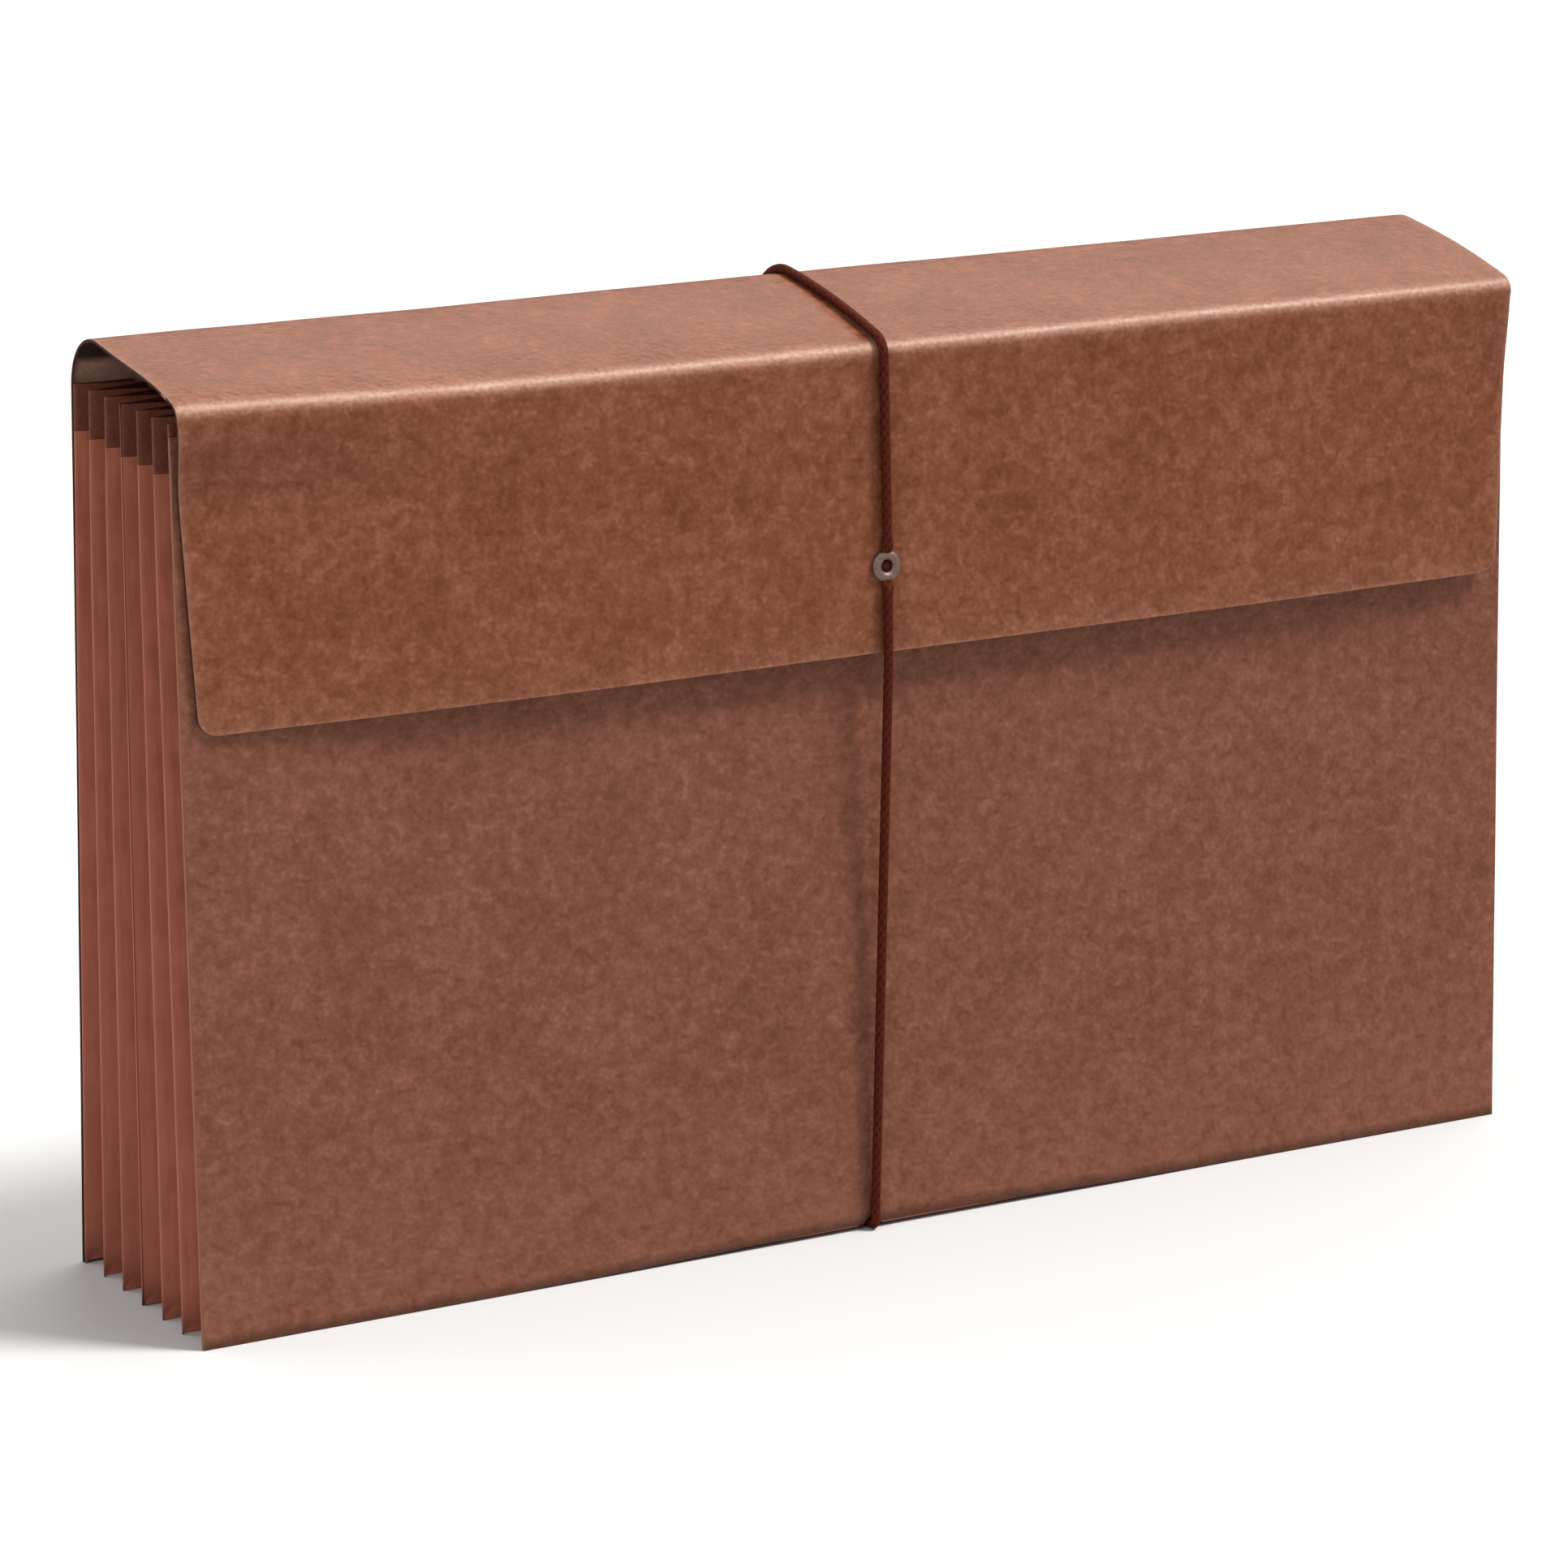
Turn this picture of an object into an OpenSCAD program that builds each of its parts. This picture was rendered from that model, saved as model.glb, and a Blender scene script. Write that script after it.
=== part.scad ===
// Expanding file wallet: two boards joined by a pleated paper gusset on three
// sides, a flap that folds over the top and down the front, and an elastic cord
// fixed in an eyelet on the flap that runs once round the wallet.
// +Z is up, +X is the width, the front faces -Y. The origin is the middle of the
// footprint, on the surface that the wallet stands on. Millimetres.

/* [Boards] */
// Width of the back and front boards
wallet_w = 375; // [320:1:400]
// Depth across the outer faces of the boards at their bottom edges
bottom_depth = 73; // [66:1:76]
// Height at which the planes of the two leaning boards would meet
apex_z = 1000; // [900:10:1200]
// Thickness of the boards at the bottom
board_t = 1.0; // [0.8:0.1:1.2]
// Top edge of the front board
front_h = 219; // [180:1:221]

/* [Gusset] */
// Width of one pleat, from fold to fold
pleat_w = 22; // [18:0.5:26]
// Thickness of the gusset paper
paper_t = 0.4; // [0.3:0.05:0.5]
// Top edge of the side gussets
gusset_top = 222; // [190:1:222]
// Height of the lowest folds of the bottom gusset above the ground
gusset_lift = 1.0; // [0.9:0.1:5]

/* [Flap] */
// Radius of the shoulder where the back board turns into the flap
shoulder_r = 13; // [10:0.5:14]
// Length of the front of the flap, from the crease to its edge
flap_drop = 76; // [60:1:90]
// How much each side of the flap's front draws in on the way down
flap_taper = 4; // [0:0.5:8]
// Radius of the flap's two lower corners
flap_corner_r = 5; // [4:0.5:12]

/* [Cord] */
// Diameter of the elastic cord
cord_d = 2.4; // [2:0.1:2.4]
// Outer diameter of the eyelet
eyelet_d = 8; // [7:0.5:10]
// Bore of the eyelet
eyelet_bore = 3.6; // [3.2:0.1:4]
// Distance of the eyelet above the flap's lower edge
eyelet_up = 21.5; // [18:0.5:30]

/* [Hidden] */

// ---- the leaning boards -------------------------------------------------
half = bottom_depth / 2;              // outer face of a board at the ground
inner = half - board_t;               // inner face of a board at the ground
glue = inner - paper_t;               // free face of a glued flange at the ground
function tau(z) = 1 - z / apex_z;     // everything narrows by this towards the apex
lean = atan(half / apex_z);           // lean of a board from the vertical

// ---- the gusset ---------------------------------------------------------
pleats = 12;                          // panels from board to board
gusset_x = wallet_w / 2 - 0.5;        // outer folds of the side gussets
open_gap = 0.6;                       // play at the middle fold, where the two half chains meet
fold_gap = 0.06;                      // each panel stops this far short of its folds
mitre_gap = 0.5;                      // play at the mitred corners
// angle of a panel from face to face with its neighbour
step = (2 * glue - open_gap) / pleats;
phi = asin(step / norm([pleat_w, paper_t])) - atan2(paper_t, pleat_w);
// lean of each bottom panel's middle position, from one board's to the other's
function fan(i) = atan(glue / apex_z) * (1 - (2 * i - 1) / pleats);
function odd(i) = i % 2 == 1;
function sum(v, i = 0) = i < len(v) ? v[i] + sum(v, i + 1) : 0;
// width of a bottom panel, so that its chain spans the same depth
bottom_w = (2 * glue * tau(gusset_lift) - open_gap
    - paper_t * sum([for (i = [1:pleats]) cos(phi + (odd(i) ? fan(i) : -fan(i)))]))
    / sum([for (i = [1:pleats]) sin(phi + (odd(i) ? fan(i) : -fan(i)))]);

// side chain, left, in plan at the ground: directions along and across panel i
function side_along(i) = odd(i) ? [cos(phi), -sin(phi)] : [-cos(phi), -sin(phi)];
function side_across(i) = odd(i) ? [-sin(phi), -cos(phi)] : [sin(phi), -cos(phi)];
function side_fold(i) = i == 0 ? [-gusset_x, glue]
    : side_fold(i - 1) + pleat_w * side_along(i) + paper_t * side_across(i);
// bottom chain, in the plane of Y and Z
function bottom_turn(i) = odd(i) ? phi + fan(i) : phi - fan(i);
function bottom_along(i) = odd(i) ? [-sin(bottom_turn(i)), cos(bottom_turn(i))]
    : [-sin(bottom_turn(i)), -cos(bottom_turn(i))];
function bottom_across(i) = odd(i) ? [-cos(bottom_turn(i)), -sin(bottom_turn(i))]
    : [-cos(bottom_turn(i)), sin(bottom_turn(i))];
function bottom_fold(i) = i == 0 ? [glue * tau(gusset_lift), gusset_lift]
    : bottom_fold(i - 1) + bottom_w * bottom_along(i) + paper_t * bottom_across(i);

// ---- the flap's profile, in the plane of Y and Z -----------------------
shoulder_z = 222;                                  // the back board starts to turn here
shoulder_top = -7;                                 // slope where the shoulder ends
crease_slope = -17;                                // slope where the top meets the crease
shoulder_y = half * tau(shoulder_z);
shoulder_t = board_t * tau(shoulder_z);            // thickness of the flap
shoulder_c = [shoulder_y - shoulder_r * cos(lean), shoulder_z - shoulder_r * sin(lean)];
hinge_turn = (90 - lean + shoulder_top) / 2;       // the fold line of the flap, half way round
function outward(a) = [sin(a), cos(a)];            // outward normal where the slope is a
shoulder_end = shoulder_c + shoulder_r * outward(shoulder_top);
crease_y = -32.3;
top_r = (shoulder_end[0] - crease_y) / (sin(shoulder_top) - sin(crease_slope));
top_c = shoulder_end - top_r * outward(shoulder_top);
crease = top_c + top_r * outward(crease_slope);
flap_out = 4.1;                                    // the flap's edge stands this far out from its crease
flap_turn = atan(flap_out / flap_drop);
flap_half = wallet_w / 2 - 0.2;                    // half the flap's width at the crease

// ---- the cord's route ---------------------------------------------------
cord_r = cord_d / 2;
cord_off = cord_r + 0.05;                          // the cord's middle, off the board it lies on
cord_x_top = -1;                                   // where it crosses the top
cord_x_low = -4;                                   // where it crosses the bottom edges
cord_y = half + cord_off + 0.05;                   // front and back runs at the ground
corner_up = 16;                                    // the stretch that stays on the front board
notch_w = 3.4;
notch_h = 3.6;
eyelet_drop = flap_drop - eyelet_up;
// a point on the flap's outer face, d down from the crease and off it by o
function on_flap(d, o) = [crease[0] - d * sin(flap_turn) - o * cos(flap_turn),
    crease[1] - d * cos(flap_turn) + o * sin(flap_turn)];
eyelet_c = on_flap(eyelet_drop, 0);
flap_edge = on_flap(flap_drop, 0);
link_z = flap_edge[1] - 1;                         // the cord leaves the flap here
function strand_x(z) = cord_x_low + (cord_x_top - cord_x_low) * z / eyelet_c[1];

leather = [0.52, 0.32, 0.24];
paper = [0.55, 0.29, 0.23];
dark = [0.24, 0.11, 0.08];
steel = [0.72, 0.68, 0.64];

// ---- shapes that repeat -------------------------------------------------
// a profile in the plane of Y and Z, drawn out along X from -h to h
module across_x(h) {
  rotate([90, 0, 90]) translate([0, 0, -h]) linear_extrude(height = 2 * h) children();
}

// round rod from p to q
module rod(p, q, d) {
  v = q - p;
  translate(p) rotate([0, acos(v[2] / norm(v)), atan2(v[1], v[0])])
    cylinder(d = d, h = norm(v), $fn = 32);
}

// round cord bent about an axis along X, from slope a to slope b
module bend(c, r, a, b, x) {
  translate([x, c[0], c[1]]) rotate([0, -90, 0]) rotate([0, 0, a])
    rotate_extrude(angle = b - a, $fn = 96) translate([r, 0]) circle(d = cord_d, $fn = 32);
}

// slot along the bottom, where the cord has pressed its way into the boards and the lowest folds
module cord_notch() {
  translate([cord_x_low - notch_w / 2, -half - 5, -1]) cube([notch_w, 2 * half + 10, notch_h + 1]);
}

// one of the two leaning sheets: s is 1 at the back and -1 at the front, from
// depth a to depth b at the ground, up to the height h
module leaning_sheet(s, a, b, h, hw) {
  across_x(hw) polygon([[s * a, 0], [s * b, 0], [s * b * tau(h), h], [s * a * tau(h), h]]);
}

// a point of the side gusset, from its plan at the ground to the height z
function drawn_up(p, z) = [-gusset_x + (p[0] + gusset_x) * tau(z), p[1] * tau(z), z];
// the height at which the mitre cuts the line above p
function mitre_z(p) = let (q = (p[0] + gusset_x) / cos(phi))
    (gusset_lift + mitre_gap + q) / (1 + q / apex_z);

box_faces = [[0, 1, 2, 3], [7, 6, 5, 4], [4, 5, 1, 0], [5, 6, 2, 1], [6, 7, 3, 2], [7, 4, 0, 3]];

// panel i of the back half of the left gusset
module left_panel(i) {
  o = side_fold(i - 1);
  a = side_along(i);
  n = side_across(i);
  s0 = fold_gap;
  s1 = pleat_w - fold_gap;
  p = [o + s0 * a, o + s1 * a, o + s1 * a + paper_t * n, o + s0 * a + paper_t * n];
  low = [for (q = p) drawn_up(q, mitre_z(q))];
  top = [for (q = p) drawn_up(q, gusset_top)];
  color(paper) polyhedron(points = concat(low, top),
      faces = odd(i) ? box_faces : [for (f = box_faces) [f[3], f[2], f[1], f[0]]], convexity = 2);
}

// panel i of the back half of the bottom gusset
module bottom_panel(i) {
  o = bottom_fold(i - 1);
  a = bottom_along(i);
  n = bottom_across(i);
  s0 = fold_gap;
  s1 = bottom_w - fold_gap;
  p = [o + s0 * a, o + s1 * a, o + s1 * a + paper_t * n, o + s0 * a + paper_t * n];
  function end_x(q) = gusset_x - mitre_gap - (q[1] - gusset_lift) / cos(phi);
  left = [for (q = p) [-end_x(q), q[0], q[1]]];
  right = [for (q = p) [end_x(q), q[0], q[1]]];
  color(paper) difference() {
    polyhedron(points = concat(left, right),
      faces = odd(i) ? box_faces : [for (f = box_faces) [f[3], f[2], f[1], f[0]]], convexity = 2);
    cord_notch();
  }
}

// panels 7 to 12 mirror panels 6 to 1 in the plane between the boards
module left_pleat(i) {
  if (i <= pleats / 2) left_panel(i);
  else mirror([0, 1, 0]) left_panel(pleats + 1 - i);
}
module right_pleat(i) { mirror([1, 0, 0]) left_pleat(i); }
module bottom_pleat(i) {
  if (i <= pleats / 2) bottom_panel(i);
  else mirror([0, 1, 0]) bottom_panel(pleats + 1 - i);
}

// ---- boards -------------------------------------------------------------
// the back board, up to the fold line half way round its shoulder
module back_panel() {
  outer = [for (k = [0:10]) shoulder_c + shoulder_r
      * outward(90 - lean + (hinge_turn + 0.3 - 90 + lean) * k / 10)];
  under = [for (k = [10:-1:0]) shoulder_c + (shoulder_r - shoulder_t)
      * outward(90 - lean + (hinge_turn + 0.3 - 90 + lean) * k / 10)];
  color(leather) difference() {
    across_x(wallet_w / 2) polygon(concat([[half, 0]], outer, under, [[inner, 0]]));
    cord_notch();
  }
}

module front_panel() {
  color(leather) difference() {
    leaning_sheet(-1, inner, half, front_h, wallet_w / 2);
    cord_notch();
  }
}

// the top of the flap: the rest of the shoulder and a slightly crowned panel
module flap_top() {
  round_a = [for (k = [0:10]) hinge_turn - 0.3 + (shoulder_top - hinge_turn + 0.3) * k / 10];
  top_a = [for (k = [1:10]) shoulder_top + (crease_slope - shoulder_top) * k / 10];
  outer = concat([for (a = round_a) shoulder_c + shoulder_r * outward(a)],
                 [for (a = top_a) top_c + top_r * outward(a)]);
  under = concat([for (a = round_a) shoulder_c + (shoulder_r - shoulder_t) * outward(a)],
                 [for (a = top_a) top_c + (top_r - shoulder_t) * outward(a)]);
  color(leather) across_x(flap_half)
    polygon(concat(outer, [for (k = [len(under) - 1:-1:0]) under[k]]));
}

// outline of the flap's front: X across, Y down from the crease
function flap_outline() = let (
    d0 = shoulder_t + 0.3, r = flap_corner_r,
    slope = atan(flap_taper / flap_drop),
    at = function(d) flap_half - flap_taper * d / flap_drop,
    // middle of the round corner, r in from the side and the edge
    cy = flap_drop - r,
    cx = at(cy) - r / cos(slope),
    side = concat([[at(d0), -d0]],
      [for (k = [0:12]) let (a = -slope - (90 - slope) * k / 12)
        [cx + r * cos(a), -cy + r * sin(a)]]))
  concat(side, [for (k = [len(side) - 1:-1:0]) [-side[k][0], side[k][1]]]);

module flap_front() {
  color(leather) difference() {
    translate([0, crease[0], crease[1]]) rotate([90 - flap_turn, 0, 0])
      translate([0, 0, -shoulder_t]) linear_extrude(height = shoulder_t) polygon(flap_outline());
    on_eyelet() translate([0, 0, -5]) cylinder(d = eyelet_bore + 1.0, h = 10, $fn = 48);
  }
}

// ---- glued edges of the gusset -----------------------------------------
module gusset_flange(s) {
  color(paper) difference() {
    intersection() {
      leaning_sheet(s, glue, inner - 0.02, gusset_top + 1, wallet_w / 2);
      rotate([90, 0, 0]) translate([0, 0, -100]) linear_extrude(height = 200)
        polygon([[-gusset_x, gusset_lift], [gusset_x, gusset_lift], [gusset_x, gusset_top - 4],
                 [gusset_x - 20, gusset_top - 4], [gusset_x - 20, gusset_lift + 20],
                 [-gusset_x + 20, gusset_lift + 20], [-gusset_x + 20, gusset_top - 4],
                 [-gusset_x, gusset_top - 4]]);
    }
    cord_notch();
  }
}
module gusset_flange_back() { gusset_flange(1); }
module gusset_flange_front() { gusset_flange(-1); }

// ---- eyelet and cord ----------------------------------------------------
// places a shape on the flap at the eyelet, its own Z pointing out of the flap
module on_eyelet() {
  translate([cord_x_top, eyelet_c[0], eyelet_c[1]]) rotate([90 - flap_turn, 0, 0]) children();
}

// metal eyelet: a rolled rim outside, a barrel through the flap, a rim inside
module eyelet() {
  b = eyelet_bore / 2;
  o = eyelet_d / 2;
  color(steel) on_eyelet() rotate_extrude($fn = 64)
    polygon([[b, 0.9], [b + 0.3, 1.15], [b + 0.9, 1.2], [o - 0.9, 0.75], [o - 0.2, 0.3],
             [o, 0.04], [b + 0.42, 0.04], [b + 0.42, -shoulder_t - 0.04],
             [o - 0.8, -shoulder_t - 0.04], [o - 0.9, -shoulder_t - 0.3],
             [b + 0.5, -shoulder_t - 0.6], [b, -shoulder_t - 0.5]]);
}

// the cord's ends, drawn in through the eyelet and knotted flat behind it
module cord_knot() {
  y_in = eyelet_c[0] + shoulder_t + 0.75;
  y_out = eyelet_c[0] - 0.5;
  color(dark) union() {
    rod([cord_x_top, y_out, eyelet_c[1]], [cord_x_top, y_in + 0.5, eyelet_c[1]], cord_d);
    translate([cord_x_top, y_in, eyelet_c[1]]) rotate([-90, 0, 0])
      rotate_extrude($fn = 48) polygon([[0, 0], [2.2, 0], [2.8, 0.6], [2.8, 1.5], [2.2, 2.1], [0, 2.1]]);
  }
}

// up the back, from the ground to the shoulder
module cord_back() {
  color(dark) rod([cord_x_low, cord_y, 0.05],
    [cord_x_top, shoulder_y + cord_off * cos(lean), shoulder_z + cord_off * sin(lean)], cord_d);
}
// over the shoulder
module cord_shoulder() {
  color(dark) bend(shoulder_c, shoulder_r + cord_off, shoulder_top + 0.3, 90 - lean - 0.6, cord_x_top);
}
// across the top
module cord_top() {
  color(dark) bend(top_c, top_r + cord_off, crease_slope, shoulder_top, cord_x_top);
}
// round the front crease
module cord_crease() {
  color(dark) bend(crease, cord_off, -90 + flap_turn + 1.5, crease_slope - 1.5, cord_x_top);
}
// down the front of the flap to the eyelet
module cord_flap() {
  a = on_flap(0.1, cord_off);
  b = on_flap(eyelet_drop - eyelet_d / 2 - 0.2, cord_off);
  color(dark) rod([cord_x_top, a[0], a[1]], [cord_x_top, b[0], b[1]], cord_d);
}
// from the eyelet to the flap's edge
module cord_link() {
  a = on_flap(eyelet_drop + eyelet_d / 2 + 0.2, cord_off);
  color(dark) rod([strand_x(a[1]), a[0], a[1]], [strand_x(link_z), -cord_y, link_z + 0.3], cord_d);
}
// the stretched run in front of the front board
module cord_front() {
  color(dark) rod([strand_x(link_z), -cord_y, link_z], [strand_x(corner_up), -cord_y, corner_up + 0.3], cord_d);
}
// its last stretch, which lies on the front board and turns under it
module cord_corner() {
  color(dark) rod([strand_x(corner_up), -cord_y, corner_up], [cord_x_low, -cord_y, 0.05], cord_d);
}
// under the gusset, from notch to notch
module cord_bottom() {
  color(dark) rod([cord_x_low, cord_y - cord_r - 0.05, cord_r + 0.05],
                  [cord_x_low, -cord_y + cord_r + 0.05, cord_r + 0.05], cord_d);
}

back_panel();
front_panel();
flap_top();
flap_front();
gusset_flange_back();
gusset_flange_front();
left_pleat(1);  // left_pleat_01
left_pleat(2);  // left_pleat_02
left_pleat(3);  // left_pleat_03
left_pleat(4);  // left_pleat_04
left_pleat(5);  // left_pleat_05
left_pleat(6);  // left_pleat_06
left_pleat(7);  // left_pleat_07
left_pleat(8);  // left_pleat_08
left_pleat(9);  // left_pleat_09
left_pleat(10);  // left_pleat_10
left_pleat(11);  // left_pleat_11
left_pleat(12);  // left_pleat_12
right_pleat(1);  // right_pleat_01
right_pleat(2);  // right_pleat_02
right_pleat(3);  // right_pleat_03
right_pleat(4);  // right_pleat_04
right_pleat(5);  // right_pleat_05
right_pleat(6);  // right_pleat_06
right_pleat(7);  // right_pleat_07
right_pleat(8);  // right_pleat_08
right_pleat(9);  // right_pleat_09
right_pleat(10);  // right_pleat_10
right_pleat(11);  // right_pleat_11
right_pleat(12);  // right_pleat_12
bottom_pleat(1);  // bottom_pleat_01
bottom_pleat(2);  // bottom_pleat_02
bottom_pleat(3);  // bottom_pleat_03
bottom_pleat(4);  // bottom_pleat_04
bottom_pleat(5);  // bottom_pleat_05
bottom_pleat(6);  // bottom_pleat_06
bottom_pleat(7);  // bottom_pleat_07
bottom_pleat(8);  // bottom_pleat_08
bottom_pleat(9);  // bottom_pleat_09
bottom_pleat(10);  // bottom_pleat_10
bottom_pleat(11);  // bottom_pleat_11
bottom_pleat(12);  // bottom_pleat_12
eyelet();
cord_knot();
cord_back();
cord_shoulder();
cord_top();
cord_crease();
cord_flap();
cord_link();
cord_front();
cord_corner();
cord_bottom();
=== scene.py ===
"""Looks of the expanding file wallet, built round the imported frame.

Lengths are in millimetres until a mesh is made, when they become metres. The
shape values repeat the construction source: two leaning boards, a pleated
gusset whose folds aim at one point high above, a flap and an elastic cord.
"""

import math

import bpy
import numpy as np
from mathutils import Matrix, Vector, noise


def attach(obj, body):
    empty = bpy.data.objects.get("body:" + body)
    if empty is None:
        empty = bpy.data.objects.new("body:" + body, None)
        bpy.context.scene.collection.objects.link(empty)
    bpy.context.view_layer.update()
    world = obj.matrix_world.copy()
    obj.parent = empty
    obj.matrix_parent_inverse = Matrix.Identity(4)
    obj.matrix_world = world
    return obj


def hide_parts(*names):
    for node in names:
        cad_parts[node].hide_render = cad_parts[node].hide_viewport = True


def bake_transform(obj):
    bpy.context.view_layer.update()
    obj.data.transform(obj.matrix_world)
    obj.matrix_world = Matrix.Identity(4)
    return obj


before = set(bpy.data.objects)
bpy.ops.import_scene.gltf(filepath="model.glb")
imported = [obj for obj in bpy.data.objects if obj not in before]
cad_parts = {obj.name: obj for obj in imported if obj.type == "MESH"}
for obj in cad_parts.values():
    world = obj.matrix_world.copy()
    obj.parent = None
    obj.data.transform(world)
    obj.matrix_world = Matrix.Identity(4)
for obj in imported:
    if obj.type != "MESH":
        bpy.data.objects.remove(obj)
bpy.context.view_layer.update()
MM = 0.001

# ---- camera: the photograph's viewing angle --------------------------------
YAW, PITCH, ROLL = 0.5162, 0.2597, 0.0035
forward = Vector((math.sin(YAW) * math.cos(PITCH), math.cos(YAW) * math.cos(PITCH), -math.sin(PITCH)))
right = Vector((math.cos(YAW), -math.sin(YAW), 0))
up = right.cross(forward)
cam_x = math.cos(ROLL) * right + math.sin(ROLL) * up
cam_y = -math.sin(ROLL) * right + math.cos(ROLL) * up
lens = bpy.data.cameras.new("camera")
lens.sensor_fit = "HORIZONTAL"
lens.sensor_width = 36.0
lens.lens = 7379.164 / 1932 * 36.0
lens.clip_start, lens.clip_end = 0.05, 60
camera = bpy.data.objects.new("camera", lens)
bpy.context.scene.collection.objects.link(camera)
camera.matrix_world = Matrix((
    (cam_x.x, cam_y.x, -forward.x, -728.0455 * MM),
    (cam_x.y, cam_y.y, -forward.y, -1266.356 * MM),
    (cam_x.z, cam_y.z, -forward.z, 494.6935 * MM),
    (0, 0, 0, 1)))
bpy.context.scene.camera = camera

# ---- the shape values -------------------------------------------------------
WIDTH, HALF, APEX, BOARD_T = 375.0, 36.5, 1000.0, 1.0
FRONT_H, GUSSET_TOP, LIFT = 219.0, 222.0, 1.0
PLEAT_W, PAPER_T, PLEATS, OPEN_GAP = 22.0, 0.4, 12, 0.6
GUSSET_X = WIDTH / 2 - 0.5
GLUE = HALF - BOARD_T - PAPER_T
LEAN = math.atan(HALF / APEX)
SHOULDER_R, SHOULDER_Z = 13.0, 222.0
SLOPE_TOP, SLOPE_CREASE, CREASE_Y = math.radians(-7), math.radians(-17), -32.3
FLAP_DROP, FLAP_OUT, FLAP_TAPER, FLAP_CORNER = 76.0, 4.1, 4.0, 5.0
FLAP_TURN = math.atan(FLAP_OUT / FLAP_DROP)
FLAP_HALF = WIDTH / 2 - 0.2
FLAP_T = BOARD_T * (1 - SHOULDER_Z / APEX)
CORD_R = 1.2
CORD_X_TOP, CORD_X_LOW = -1.0, -4.0
CORD_Y = HALF + CORD_R + 0.1
CORNER_UP = 16.0
STRAND_END = 3.0      # the strand runs on over the stub at the corner, to reach it when the boards close
EYELET_DROP = FLAP_DROP - 21.5


def tau(z):
    return 1 - z / APEX


def outward(a):
    return np.array([math.sin(a), math.cos(a)])


shoulder_y = HALF * tau(SHOULDER_Z)
shoulder_c = np.array([shoulder_y - SHOULDER_R * math.cos(LEAN), SHOULDER_Z - SHOULDER_R * math.sin(LEAN)])
shoulder_end = shoulder_c + SHOULDER_R * outward(SLOPE_TOP)
TOP_R = (shoulder_end[0] - CREASE_Y) / (math.sin(SLOPE_TOP) - math.sin(SLOPE_CREASE))
top_c = shoulder_end - TOP_R * outward(SLOPE_TOP)
crease = top_c + TOP_R * outward(SLOPE_CREASE)
SLOPE_FRONT = -math.pi / 2 + FLAP_TURN
CREASE_R = 4.2
crease_run = CREASE_R * math.tan((SLOPE_CREASE - SLOPE_FRONT) / 2)
slope_round = SLOPE_CREASE + crease_run / TOP_R            # the top turns into the crease here
crease_start = top_c + TOP_R * outward(slope_round)
crease_c = crease_start - CREASE_R * outward(slope_round)
SEAM_RUN = 3.0
slope_seam = slope_round + SEAM_RUN / TOP_R


def on_flap(d, o):
    """A point of the flap's front in Y and Z, d down from the crease and o off its outer face."""
    return np.array([crease[0] - d * math.sin(FLAP_TURN) - o * math.cos(FLAP_TURN),
                     crease[1] - d * math.cos(FLAP_TURN) + o * math.sin(FLAP_TURN)])


eyelet_c = on_flap(EYELET_DROP, 0)
flap_edge = on_flap(FLAP_DROP, 0)
LINK_Z = flap_edge[1] - 1


def strand_x(z):
    return CORD_X_LOW + (CORD_X_TOP - CORD_X_LOW) * z / eyelet_c[1]


def wobble(x, s, seed, size):
    return noise.noise(Vector((x / size + 13.7 * seed, s / size - 5.3 * seed, 0.71 * seed)))


# ---- materials --------------------------------------------------------------
def nodes_of(name):
    m = bpy.data.materials.new(name)
    m.use_nodes = True
    t = m.node_tree
    t.nodes.clear()
    out = t.nodes.new("ShaderNodeOutputMaterial")
    shader = t.nodes.new("ShaderNodeBsdfPrincipled")
    t.links.new(shader.outputs[0], out.inputs[0])
    return m, t, shader


def add(t, kind, **values):
    n = t.nodes.new(kind)
    for k, v in values.items():
        if k.startswith("in_"):
            n.inputs[k[3:].replace("_", " ")].default_value = v
        else:
            setattr(n, k, v)
    return n


def attribute(t, name):
    return add(t, "ShaderNodeAttribute", attribute_name=name)


def ramp(t, stops, kind="LINEAR"):
    n = t.nodes.new("ShaderNodeValToRGB")
    n.color_ramp.interpolation = kind
    e = n.color_ramp.elements
    while len(e) < len(stops):
        e.new(0.5)
    for el, (p, c) in zip(e, stops):
        el.position = p
        el.color = (*c, 1)
    return n


def mix_colour(t, a, b, factor, kind="MIX"):
    n = t.nodes.new("ShaderNodeMix")
    n.data_type = "RGBA"
    n.blend_type = kind
    n.clamp_factor = True
    for socket, v in ((n.inputs["Factor"], factor), (n.inputs[6], a), (n.inputs[7], b)):
        if isinstance(v, bpy.types.NodeSocket):
            t.links.new(v, socket)
        else:
            socket.default_value = v if isinstance(v, float) else (*v, 1)
    return n.outputs[2]


def maths(t, op, a, b=None, c=None, clamp=False):
    n = t.nodes.new("ShaderNodeMath")
    n.operation = op
    n.use_clamp = clamp
    for i, v in enumerate((a, b, c)):
        if v is None:
            continue
        if isinstance(v, bpy.types.NodeSocket):
            t.links.new(v, n.inputs[i])
        else:
            n.inputs[i].default_value = v
    return n.outputs[0]


def spread(t, v, low, high, to_low, to_high):
    n = add(t, "ShaderNodeMapRange", clamp=True)
    t.links.new(v, n.inputs[0])
    for i, x in enumerate((low, high, to_low, to_high)):
        n.inputs[i + 1].default_value = x
    return n.outputs[0]


def noise_of(t, where, scale, detail=3.0, rough=0.55, warp=0.0):
    n = add(t, "ShaderNodeTexNoise", in_Scale=scale, in_Detail=detail, in_Roughness=rough, in_Distortion=warp)
    t.links.new(where, n.inputs["Vector"])
    return n.outputs[0]


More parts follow.
